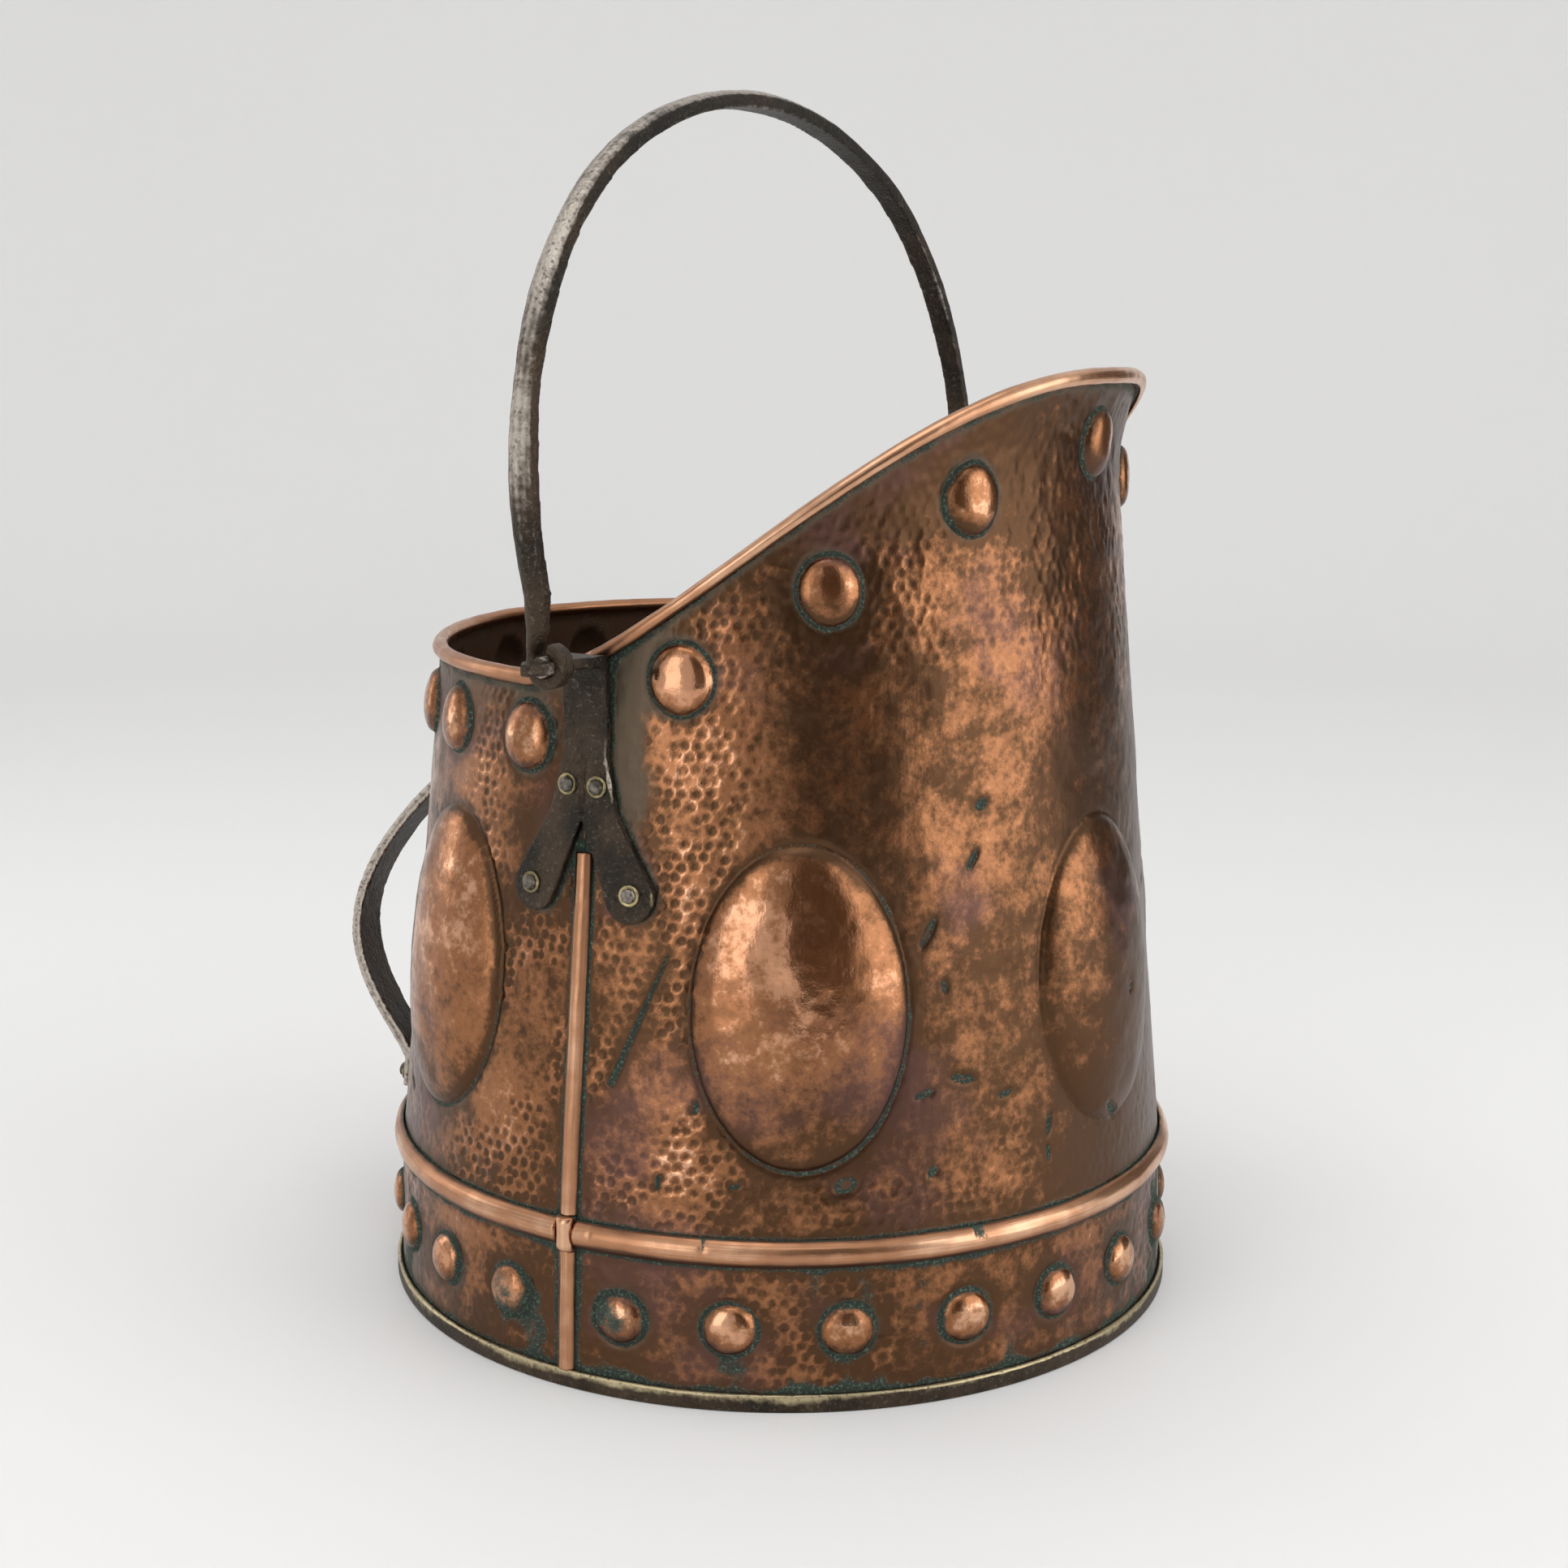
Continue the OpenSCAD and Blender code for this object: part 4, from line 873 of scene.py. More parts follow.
def build_sheet(name, node, start, ovals, bosses, sizes, finish):
    """One half of the body: hammered outer face, rolled edge and dark inside, as one closed skin."""
    form = Form(sizes)
    a, columns, steps = half_turn(start, WALL_ARC_R, WALL_ROWS_H, finish)
    rows, inner_rows = int(steps), int(steps / 4)
    wire_z = form.rim_z(a) - form.roll_r
    top_z, low_z = wire_z - form.roll_r, sizes.waist_z + sizes.seat_gap / 2

    def heights(n):
        return low_z + (top_z - low_z) * np.linspace(0, 1, n + 1)[None, :]

    z = heights(rows)
    grid_a = a + 0 * z
    wall = Wall(form, finish, grid_a, z)
    for at in ovals:
        wall.oval(at - 90, 0.25 if at == SOFT_OVAL else 1.0)
    for at in bosses:
        wall.boss(at - 90, form.rim_boss_z(at), sizes.rim_boss_d / 2, sizes.rim_boss_proud)
    amount, bare = hammered_amount(form, grid_a, z)
    wall.hammer(amount)
    wall.patina += 0.22 * bare
    wall.grey += 0.62 * bare
    wall.verdigris += 0.08 * bare
    for gouge in GOUGES:
        wall.gouge(*gouge)
    wall.scratch(SCRATCH)
    # The front is browner ahead of the seam, and most low down and past its middle
    before_far_seam = 1 - ramp(grid_a, 60, 90)
    wall.patina += 0.12 * ramp(grid_a, -68, -45) * before_far_seam
    wall.patina += 0.28 * ramp(grid_a, -30, -5) * before_far_seam * (1 - ramp(z, 0.20, 0.30))
    lug_gap, x = leg_distance(form, grid_a, z)
    strip_gap = np.abs(x) - sizes.strip_w / 2 + 10 * (z > form.strip_top_z + 5 * MM)
    bead_gap = z - sizes.waist_z - sizes.bead_h / 2
    # The two bands under the rolled edge darken the copper there: painted shade under the rim, with the metal's
    # own green crust in the joint
    wall.near((lug_gap, 2.4, 0.50, 0.5), (lug_gap, 16, 0.10, 0.34), (strip_gap, 1.9, 0.72, 0.4),
              (bead_gap, 1.8, 0.6, 0.4), (bead_gap, 14, 0.0, 0.25),
              (top_z - z - 1 * MM, 3.0, 0.5, 0.5), (top_z - z, 22, 0.0, 0.28))
    # No marks where the strip, the bead, the lug and the rolled edge are seated
    seats = ramp(np.abs(x), 3 * MM, 7 * MM) * ramp(z - sizes.waist_z, 4 * MM, 9 * MM)
    seats = seats * ramp(lug_gap, -3 * MM, 2 * MM)
    edge = ramp(top_z - z, 0, 4 * MM)
    outer_r = form.wall_r(z) + form.flare(grid_a, z) + wall.relief + wall.marks * seats * edge
    outer = form.points(grid_a, outer_r, z)

    def rolled(r, turn):
        return form.points(a + 0 * turn, form.roll_centre(a) + r * np.cos(turn), wire_z + r * np.sin(turn))

    core = rolled(form.roll_r - sizes.sheet_t, np.radians(np.linspace(ROLL_TO, ROLL_FROM, CORE_POINTS))[None, :])
    turn = np.radians(np.linspace(ROLL_FROM, ROLL_TO, ROLL_POINTS))[None, :]
    at = form.points(a + 0 * turn, form.roll_centre(a), wire_z + 0 * turn)
    lumps = 0.16 * MM * noise(at, 11 * MM, 5) + 0.07 * MM * noise(at, 4 * MM, 6)
    roll = rolled(form.roll_r + lumps - 0.08 * MM, turn)

    zi = heights(inner_rows)[:, ::-1]
    back = Wall(form, finish, a + 0 * zi, zi)
    for at in ovals:
        back.oval(at - 90, 1.0)
    for at in bosses:
        back.boss(at - 90, form.rim_boss_z(at), sizes.rim_boss_d / 2 - sizes.sheet_t, sizes.rim_boss_proud)
    dull = 0.2 * MM * noise(back.at, 9 * MM, 4) * ramp(zi, 0.07, 0.08)
    inner_r = form.wall_r(zi) + form.flare(a + 0 * zi, zi) + back.relief - sizes.sheet_t + dull

    rings = np.concatenate([outer, core, roll, form.points(a + 0 * zi, inner_r, zi)], 1)
    m, first_roll = rings.shape[1], rows + 1 + CORE_POINTS
    first_inner = first_roll + ROLL_POINTS
    piece = tube(name, rings, materials=[metal(k) for k in ("Wall copper", "Trim copper", "Inner copper")],
                 index=ring_finishes(columns, m, (rows, first_inner - 1)))
    # The rolled edge is darker beside the lugs and round the back
    lug = np.where(a < 0, -90, 90)
    lug_dark = 0.55 * bell(np.degrees(form.away(a, lug) / WALL_ARC_R), 14)
    paint(piece, **wall.masks(m - rows - 1, 0.1 + lug_dark + 0.28 * (form.ahead(a) < 0)))
    along = np.radians(a) * WALL_ARC_R + np.zeros(m)[None, :]
    across = np.zeros(along.shape)
    across[:, first_roll:first_inner] = np.linspace(0, 17 * MM, ROLL_POINTS)[None, :]
    paint_length(piece, along, across)
    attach(piece, "root")
    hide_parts(node)


def build_foot_band(name, node, start, bosses, sizes, finish):
    """One half of the foot: a band with a row of round bosses."""
    form, inner_rows = Form(sizes), 8
    a, columns, steps = half_turn(start, FOOT_ARC_R, FOOT_ROWS_H, finish)
    rows = int(steps)
    low, high = 1.15 * MM, sizes.waist_z - sizes.seat_gap / 2
    band_z = (sizes.hoop_h + sizes.waist_z - sizes.bead_h / 2) / 2
    z = low + (high - low) * np.linspace(0, 1, rows + 1)[None, :] + 0 * a
    grid_a = a + 0 * z
    wall = Wall(form, finish, grid_a, z)
    wall.patina += 0.10
    # Arcs are measured at the upper wall's radius, so a round boss down here is drawn a little narrower
    boss_r = sizes.foot_boss_d / 2 * 0.97
    for at in bosses:
        wall.boss(start + at, band_z, boss_r, sizes.foot_boss_proud, 0.55)
    wall.hammer(np.clip(0.42 + 0.55 * rough(wall.at, 50 * MM, 2), 0.08, 0.85))
    x = form.away(grid_a, form.lug_side(a))
    wall.near((np.abs(x) - sizes.strip_w / 2, 1.9, 0.72, 0.4),
              (sizes.waist_z - sizes.bead_h / 2 - z, 2.2, 0.66, 0.5), (z - sizes.hoop_h, 3.2, 0.60, 0.45))
    wall.verdigris += 0.66 * np.clip(rough(wall.at, 16 * MM, 9) + 0.12, 0, 1)
    # No marks where the strip, the hoop and the bead are seated
    seats = ramp(np.abs(x), 3 * MM, 7 * MM) * ramp(z, 7 * MM, 11 * MM) * ramp(sizes.waist_z - z, 5 * MM, 9 * MM)
    outer = form.points(grid_a, form.wall_r(z) + wall.relief * seats ** 0.3 + wall.marks * seats, z)
    zi = high - (high - low) * np.linspace(0, 1, inner_rows + 1)[None, :]
    inner = form.points(a + 0 * zi, form.wall_r(zi) - sizes.sheet_t, zi)
    rings = np.concatenate([outer, inner], 1)
    piece = tube(name, rings, materials=[metal("Wall copper"), metal("Inner copper")],
                 index=ring_finishes(columns, rings.shape[1], (rows,)))
    paint(piece, **wall.masks(inner_rows + 1))
    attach(piece, "root")
    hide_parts(node)


# Trim -----------------------------------------------------------------------------------------------------------

def half_round(w, h, n, along):
    """Offsets across and out of a flat-backed half-round section at each place along, and how near its crown."""
    r = (w * w / 4 + h * h) / (2 * h)
    y = np.linspace(-w / 2, w / 2, n)
    out = np.sqrt(np.maximum(r * r - y * y, 0)) + h - r
    out[[0, -1]] = 0
    back = np.linspace(w / 2, -w / 2, 5)[1:-1]
    across = np.concatenate([y, back])[None, :] + 0 * along
    out = np.concatenate([out, 0 * back])[None, :] + 0 * along
    return across, out, np.clip(out / h, 0, 1)


def add_trim(name, node, rings, patina, verdigris, along, across):
    """A piece of drawn trim through rings of points, with its masks."""
    piece = tube(name, rings, materials=[metal("Trim copper")])
    paint(piece, patina=patina, verdigris=verdigris)
    paint_length(piece, along, across)
    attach(piece, "root")
    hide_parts(node)


def build_bead(name, node, start, sizes):
    """Half of the waist bead, with the dents and file cuts of its years."""
    form = Form(sizes)
    back_r = float(form.wall_r(sizes.waist_z - sizes.bead_h / 2)) + sizes.seat_gap
    stop = math.degrees(math.asin((sizes.strip_w / 2 + 2 * sizes.seat_gap) / back_r))
    a = np.linspace(start + stop, start + 180 - stop, detail(640, 260))[:, None]
    across, out, crown = half_round(sizes.bead_h, sizes.bead_proud, 25, a)
    at = form.points(a + 0 * out, back_r + out, sizes.waist_z + across)
    dents = 0.28 * MM * noise(at, 21 * MM, 3) + 0.14 * MM * noise(at, 7 * MM, 5)
    for direction, wide in GREEN_CUTS + CLEAN_CUTS:
        dents = dents - 0.55 * MM * bell(form.away(a, direction), wide * MM) * ramp(across, -3 * MM, 4 * MM)
    groove = -0.25 * MM * bell(np.abs(across) - 0.36 * sizes.bead_h, 0.6 * MM)
    rings = form.points(a + 0 * out, back_r + out + (dents + groove) * crown, sizes.waist_z + across)
    flank = 1 - crown
    verdigris = 0.75 * ramp(flank, 0.55, 0.95)
    for direction, _ in GREEN_CUTS:
        verdigris = verdigris + 0.7 * bell(form.away(a, direction), 0.9 * MM) * ramp(across, -2 * MM, 3 * MM)
    # More patina on the lower half of the bead: painted shade under its crown, with random tone from the noise
    under = 0.75 * ramp(-across, 0.5 * MM, 4.5 * MM) + 0.25 * noise(at, 22 * MM, 8)
    add_trim(name, node, rings, 0.14 + under + 0.55 * ramp(flank, 0.2, 0.9), verdigris,
             np.radians(a) * FOOT_ARC_R + 0 * across, across)


def build_strip(name, node, side, z0, z1, sizes):
    """A strip up the side of the body, rounded in the middle with a narrow flange at each edge."""
    form = Form(sizes)
    least = 20
    z = np.linspace(z0, z1, max(least, int((z1 - z0) / (detail(0.6, 1.4) * MM))))[:, None]
    across, out, crown = half_round(sizes.strip_w, sizes.strip_proud, 23, z)
    place = np.stack([across, 0 * across + side, z + 0 * across], -1)
    wave = 0.22 * MM * noise(place, 15 * MM, 4) + 0.1 * MM * noise(place, 5 * MM, 6)
    line = -0.42 * MM * bell(np.abs(across) - 0.33 * sizes.strip_w, 0.45 * MM)
    drift = 0.35 * MM * noise(place * (0, 1, 1), 40 * MM, 2)
    r = form.wall_r(z) + sizes.seat_gap + out + (wave + line) * crown
    x = -side * (across + drift * crown)
    flank = 1 - crown
    add_trim(name, node, np.stack([x, side * r, z + 0 * x], -1), 0.22 + 0.5 * ramp(flank, 0.15, 0.9),
             0.8 * ramp(flank, 0.5, 0.95), z + 0 * across, across)


def build_collar(name, node, side, sizes):
    """The knuckle over the crossing of bead and strip."""
    form = Form(sizes)
    z0, h = sizes.waist_z - sizes.collar_h / 2, sizes.collar_h
    seat = float(form.wall_r(z0)) + sizes.seat_gap
    t = np.linspace(0, 1, 34)[:, None]
    across, out, _ = half_round(sizes.strip_w, sizes.bead_proud + 1 * MM, 25, t)
    round_end = np.minimum(1, 0.72 + 0.28 * np.clip(np.minimum(t, 1 - t) / 0.14, 0, 1) ** 0.5)
    waist = 1 - 0.07 * np.sin(np.pi * t) ** 2
    across, out = across * waist, out * round_end
    z = z0 + h * t + 0 * across
    lumps = 0.22 * MM * noise(np.stack([across, out, z], -1), 4.5 * MM, 3)
    y = side * (seat + out + lumps * (out > 1 * MM))
    flank = 1 - np.clip(out / sizes.bead_proud, 0, 1)
    ends = bell(np.minimum(t, 1 - t) * h, 1.0 * MM)
    add_trim(name, node, np.stack([-side * across, y, z], -1), 0.05 + 0.6 * flank + 0.3 * ends,
             0.7 * ramp(flank, 0.5, 1) + 0.5 * ends, z, across)


def build_hoop(sizes):
    """The hoop round the foot."""
    form = Form(sizes)
    inner, outer = sizes.foot_r + sizes.seat_gap, sizes.foot_r + sizes.seat_gap + sizes.hoop_t
    lip, lip_t, h, low_r, high_r = sizes.foot_r - sizes.hoop_lip_w, 1 * MM, sizes.hoop_h, 0.9 * MM, 1.0 * MM
    arc = np.radians(np.linspace(0, 90, 6))
    low = [(outer - low_r + low_r * math.sin(t), low_r - low_r * math.cos(t)) for t in arc]
    high = [(outer - high_r + high_r * math.cos(t), h - high_r + high_r * math.sin(t)) for t in arc]
    section = np.array([(lip, 0), ((lip + outer) / 2, 0), *low, (outer, h * 0.4), *high,
                        (inner, h), (inner, h * 0.5), (inner, lip_t), (lip, lip_t)])
    a = np.linspace(0, 360, detail(1000, 400), endpoint=False)[:, None]
    r, z = section[:, 0][None, :] + 0 * a, section[:, 1][None, :] + 0 * a
    at = form.points(a + 0 * r, r, z)
    free = ramp(r, inner + 0.5 * MM, outer) * ramp(z, 0.3 * MM, 2 * MM)
    r = r + free * (0.35 * MM * noise(at, 28 * MM, 3) + 0.16 * MM * noise(at, 8 * MM, 5) - 0.1 * MM)
    z = z + free * ramp(z, 3 * MM, 6 * MM) * (0.3 * MM * noise(at, 34 * MM, 4) - 0.1 * MM)
    piece = tube("foot_hoop_beaten", form.points(a + 0 * r, r, z), closed=True,
                 materials=[metal("Foot hoop metal")])
    rubbed = ramp(z, 5.2 * MM, 6.8 * MM) * ramp(r, inner, outer - 0.5 * MM)
    worn = 0.15 + 0.75 * rubbed + 0.2 * noise(at, 30 * MM, 6)
    paint(piece, wear=worn, rust=0.45 + 0.2 * noise(at, 40 * MM, 7), brassy=0.75)
    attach(piece, "root")
    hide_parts("foot_hoop")


# Iron -----------------------------------------------------------------------------------------------------------

def dress_iron(piece, node, body, wear, rust, brassy=0.0):
    """Gives a forged piece its metal, its masks and its place in the frame."""
    piece.data.materials.append(metal("Wrought iron"))
    paint(piece, wear=wear, rust=rust, brassy=brassy)
    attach(piece, body)
    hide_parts(node)


def round_off(points, pivot_z, low, high, radius, where=True):
    """Moves the points between two distances from the bail's axis to a radius, so that eye and neck stay clear."""
    x, z = points[:, 0], points[:, 2] - pivot_z
    d = np.maximum(np.hypot(x, z), 1e-6)
    reach = np.where(where & (d > low) & (d < high), radius, d) - d
    points[:, 0], points[:, 2] = points[:, 0] + x / d * reach, points[:, 2] + z / d * reach


def over_wall(form, points):
    """How far points stand over the wall's cone."""
    return np.hypot(points[:, 0], points[:, 1]) - form.wall_r(points[:, 2])


def build_lug(name, node, sizes, finish):
    """A forged lug strap, uneven at its edges and worn bright along them, with a painted highlight along the edges
    on its +x side.
    """
    form, deep = Form(sizes), finish.forging
    piece, points, normals = forged(name, node, finish, 2)
    worn, out = edges_worn(piece.data), over_wall(form, points)
    free = ramp(out, 1.5 * MM, 3.0 * MM)
    wave = deep * noise(points, 12 * MM, 3) + 0.5 * deep * noise(points, 5 * MM, 5) - 0.35 * deep
    on_neck = np.abs(np.abs(points[:, 1]) - sizes.eye_y) < sizes.eye_w / 2 + 0.35 * MM
    slit = bell(np.abs(points[:, 0]), 0.8 * MM)
    slit *= ramp(points[:, 2], sizes.lug_crotch_z, sizes.lug_crotch_z + 2 * MM)
    slit *= ramp(sizes.lug_split_z - points[:, 2], -1 * MM, 2 * MM) * ramp(out, 2 * MM, 3.4 * MM)
    points = points + normals * (wave * free * ~on_neck - 1.0 * MM * slit)[:, None]
    neck_r = sizes.neck_d / 2
    round_off(points, form.pivot_z, neck_r - 0.06 * MM, neck_r + 1 * MM, neck_r - 0.06 * MM, on_neck)
    move_points(piece, points)
    tip = ramp(np.abs(points[:, 1]), sizes.eye_y - 15 * MM, sizes.eye_y)
    brassy = 0.75 * (1 - ramp(points[:, 2], 0.20, 0.26))
    # Edges on the +x side get much more bare metal than the others: a painted highlight where the key lamp catches
    # them, over the metal's own wear
    rubbed = ramp(noise(points, 20 * MM, 7), -0.3, 0.7) * (0.35 + 0.65 * (points[:, 0] > 0))
    dress_iron(piece, node, "root", 0.04 + 0.75 * worn * free * rubbed + 0.3 * tip,
               0.35 + 0.3 * noise(points, 14 * MM, 6), brassy)


def build_bail(sizes, finish):
    """The bail: crowned bar, worn bright outside, with a hooked eye at each end."""
    pivot_z, deep, neck_r = Form(sizes).pivot_z, finish.forging, sizes.neck_d / 2
    piece, points, normals = forged("bail_forged", "bail", finish, 4)
    # The eyes stay true, and the bar beyond them is uneven
    bar = ramp(np.hypot(points[:, 0], points[:, 2] - pivot_z), 9.5 * MM, 16 * MM)
    wave = deep * (1.5 * noise(points, 30 * MM, 3) + 0.7 * noise(points, 9 * MM, 5)) - 0.5 * deep
    points = points + normals * (wave * bar)[:, None]
    bore = neck_r + 0.16 * MM
    round_off(points, pivot_z, neck_r - 1.5 * MM, bore, bore)
    normals = move_points(piece, points)
    # Hands have worn the side that faces away from the middle of the arch
    centre = np.stack([0 * points[:, 0], points[:, 1] * 0.35, 0 * points[:, 2] + pivot_z + 0.03], -1)
    outward = points - centre
    outward /= np.linalg.norm(outward, axis=1)[:, None]
    rubbed = ramp((normals * outward).sum(1), 0.35, 0.95) * ramp(points[:, 2], pivot_z + 0.02, pivot_z + 0.09)
    high = ramp(points[:, 2], pivot_z + 0.10, pivot_z + 0.2)
    wear = 0.02 + 0.49 * rubbed + 0.32 * edges_worn(piece.data) + 0.08 * high + 0.12 * noise(points, 40 * MM, 6)
    dress_iron(piece, "bail", "bail", wear, 0.4 + 0.3 * noise(points, 30 * MM, 7) - 0.25 * high)


def build_back_handle(sizes, finish):
    """The strap handle at the back, nicked along its worn edges."""
    form, deep = Form(sizes), finish.forging
    piece, points, normals = forged("back_handle_forged", "back_handle", finish, 2)
    worn, free = edges_worn(piece.data), ramp(over_wall(form, points), 2 * MM, 5 * MM)
    wave = deep * (noise(points, 16 * MM, 3) + 0.6 * noise(points, 6 * MM, 5)) - 0.4 * deep
    nick = np.clip(noise(points, 3.5 * MM, 9) - 0.45, 0, 1) * worn * 1.4 * MM
    points = points + normals * ((wave - nick) * free)[:, None]
    normals = move_points(piece, points)
    t = np.radians([form.grip_direction(float(z)) for z in points[:, 2]])
    edge_on = np.abs(-normals[:, 0] * np.sin(t) + normals[:, 1] * np.cos(t))
    outside = normals[:, 0] * np.cos(t) + normals[:, 1] * np.sin(t)
    wear = 0.05 + 0.5 * ramp(edge_on, 0.5, 0.95) + 0.4 * worn + 0.2 * ramp(outside, 0.5, 1)
    dress_iron(piece, "back_handle", "root", wear, 0.35 + 0.25 * noise(points, 20 * MM, 6))


def add_rivet(shape, place, plate_t, sizes, chance):
    """A rivet: a worn brass ring under a faceted iron head, and its shank through the plate and the sheet."""
    base = plate_t + sizes.seat_gap

    def lathe(profile, sides, uneven, index, turn=0.0, smooth=True):
        rows = []
        for r, h in profile:
            row = []
            for k in range(sides):
                t = 2 * math.pi * (k / sides) + turn
                grow = 1 + uneven * float(chance.uniform(-1, 1))
                row.append(shape.verts.new(place @ Vector((r * grow * math.cos(t), r * grow * math.sin(t), h))))
            rows.append(row)
        for low, high in zip(rows, rows[1:]):
            for k in range(sides):
                face = shape.faces.new((low[k], low[(k + 1) % sides], high[(k + 1) % sides], high[k]))
                face.material_index, face.smooth = index, smooth
        for row, flip in ((rows[0], True), (rows[-1], False)):
            face = shape.faces.new(row[::-1] if flip else row)
            face.material_index, face.smooth = index, smooth

    r, h, shank = sizes.head_d / 2, sizes.head_h, sizes.shank_d / 2
    end = -sizes.sheet_t - sizes.burr_t - 2 * MM
    ring = ((0.93, 0), (1, 0.12), (0.99, 0.26), (0.93, 0.36), (0.84, 0.40), (0.74, 0.36))
    head = ((0.72, 0.3), (0.74, 0.52), (0.62, 0.80), (0.36, 0.99))
    lathe([(r * wide, base + up * h) for wide, up in ring], 36, 0.012, 1)
    turn = float(chance.uniform(0, 1))
    lathe([(r * wide, base + up * h) for wide, up in head], 8, 0.05, 0, turn, smooth=False)
    lathe([(shank, end), (shank, base)], 20, 0.0, 0)
    lathe([(shank, end - 0.35 * MM), (shank * 1.18, end - 0.2 * MM), (shank * 1.2, end + 0.3 * MM),
           (shank, end + 0.6 * MM)], 16, 0.05, 0)


def build_rivets(name, node, places, plate_t, seed, sizes):
    """The rivets of one node."""
    shape, chance = bmesh.new(), np.random.default_rng(seed)
    for place in places:
        add_rivet(shape, place, plate_t, sizes, chance)
    bmesh.ops.recalc_face_normals(shape, faces=shape.faces)
    mesh = bpy.data.meshes.new(name)
    shape.to_mesh(mesh)
    shape.free()
    for finish in ("Rivet iron", "Rivet brass"):
        mesh.materials.append(metal(finish))
    piece = add_object(name, mesh)
    bevel = piece.modifiers.new("Worn edges", "BEVEL")
    bevel.width, bevel.segments, bevel.limit_method = 0.12 * MM, 2, "ANGLE"
    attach(piece, "root")
    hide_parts(node)


# Studio ---------------------------------------------------------------------------------------------------------

# The lamps: direction in degrees, distance, height, size and the height that each faces, in metres
LAMPS = {
    "key": (6, 1.45, 0.62, (1.30, 1.25), 0.25),
    "fill": (-97, 1.5, 0.60, (0.75, 1.2), 0.25),
    "rim": (-168, 1.4, 0.65, (0.5, 1.1), 0.25),
    "top": (-70, 0.35, 1.75, (1.0, 1.0), 0.2),
}
# The dark panels: direction in degrees, height and width in metres, and where they all stand
PANELS = {"dark_panel_near": (-43, 1.7, 1.05), "dark_panel_front": (56, 1.2, 1.25)}
PANEL_DISTANCE, PANEL_LOW_Z = 1.7, 0.02
# The studio's floor: its flat part, the radius of its curve and the height of its wall, in metres
FLOOR_R, COVE_R, STUDIO_H, FLOOR_SIDES = 2.0, 0.9, 2.6, 72
SENSOR_W = 36


def floor_material():
    """Pale paper with a little tooth."""
    made, n, shader = new_material("Studio paper")
    place = n.place()
    n.put_out(shader, Base_Color=n.mix(n.cloud(place, 1.2, 2), *PAPER_SHADES), Roughness=0.6,
              Normal=n.bump(n.cloud(place, 300, 3), 0.3, 0.2 * MM))
    return made


def cloth_material():
    """Dark brown cloth, uneven at a large scale, for the panels beside the camera."""
    made, n, shader = new_material("Studio cloth")
    n.put_out(shader, Base_Color=n.mix(n.cloud(n.place(), 3, 2), *CLOTH_SHADES), Roughness=0.9)
    return made


def standing_at(direction, distance, height):
    """A point at a direction and distance from the object's axis."""
    t = math.radians(direction)
    return Vector((distance * math.cos(t), distance * math.sin(t), height))


def add_softbox(name, direction, distance, height, size, aim_z, brightness):
    """A rectangular lamp that faces the object's axis, as bright as it is written."""
    lamp = bpy.data.lights.new(name, "AREA")
    lamp.shape = "RECTANGLE"
    lamp.size, lamp.size_y = size
    lamp.energy = brightness * math.pi * size[0] * size[1]
    holder = add_object(name, lamp)
    holder.location = standing_at(direction, distance, height)
    holder.rotation_euler = (holder.location - Vector((0, 0, aim_z))).to_track_quat("Z", "Y").to_euler()
    holder.visible_camera = False


def add_panel(name, direction, high, width, cloth):
    """A standing panel of dark cloth that only the polished metal mirrors."""
    t = math.radians(direction)
    across = Vector((-math.sin(t), math.cos(t), 0)) * width / 2
    points = [standing_at(direction, PANEL_DISTANCE, z) + way * across
              for z, way in ((PANEL_LOW_Z, -1), (PANEL_LOW_Z, 1), (high, 1), (high, -1))]
    panel = new_piece(name, np.array([tuple(p) for p in points]), [(0, 1, 2, 3)], materials=[cloth])
    panel.visible_camera = panel.visible_diffuse = panel.visible_shadow = False


def add_floor():
    """A round floor that curves up into a wall."""
    profile = [(1e-4, 0.0), (0.3, 0.0), (1.2, 0.0), (FLOOR_R, 0.0)]
    profile += [(FLOOR_R + COVE_R * math.sin(t), COVE_R - COVE_R * math.cos(t))
                for t in np.radians(np.linspace(9, 90, 10))]
    profile += [(FLOOR_R + COVE_R, 1.6), (FLOOR_R + COVE_R, STUDIO_H)]
    a = np.radians(np.linspace(0, 360, FLOOR_SIDES, endpoint=False))
    points = np.array([[(r * math.cos(t), r * math.sin(t), z) for t in a] for r, z in profile])
    floor = new_piece("studio_floor", points, loop_quads(len(profile), FLOOR_SIDES)[:, ::-1],
                      (np.arange(FLOOR_SIDES),), materials=[floor_material()])


def add_camera(studio):
    """The camera at the photograph's place, turned a little about its own axis."""
    camera = add_object("camera", bpy.data.cameras.new("camera"))
    camera.data.lens, camera.data.sensor_width = studio.lens, SENSOR_W
    at, aim = Vector(studio.camera_at), Vector(studio.look_at)
    back = (at - aim).normalized()
    right = Vector((0, 0, 1)).cross(back).normalized()
    up = back.cross(right)
    turn = math.radians(studio.roll)
    x, y = right * math.cos(turn) + up * math.sin(turn), up * math.cos(turn) - right * math.sin(turn)
    camera.matrix_world = Matrix.Translation(at) @ Matrix((x, y, back)).transposed().to_4x4()
    bpy.context.scene.camera = camera


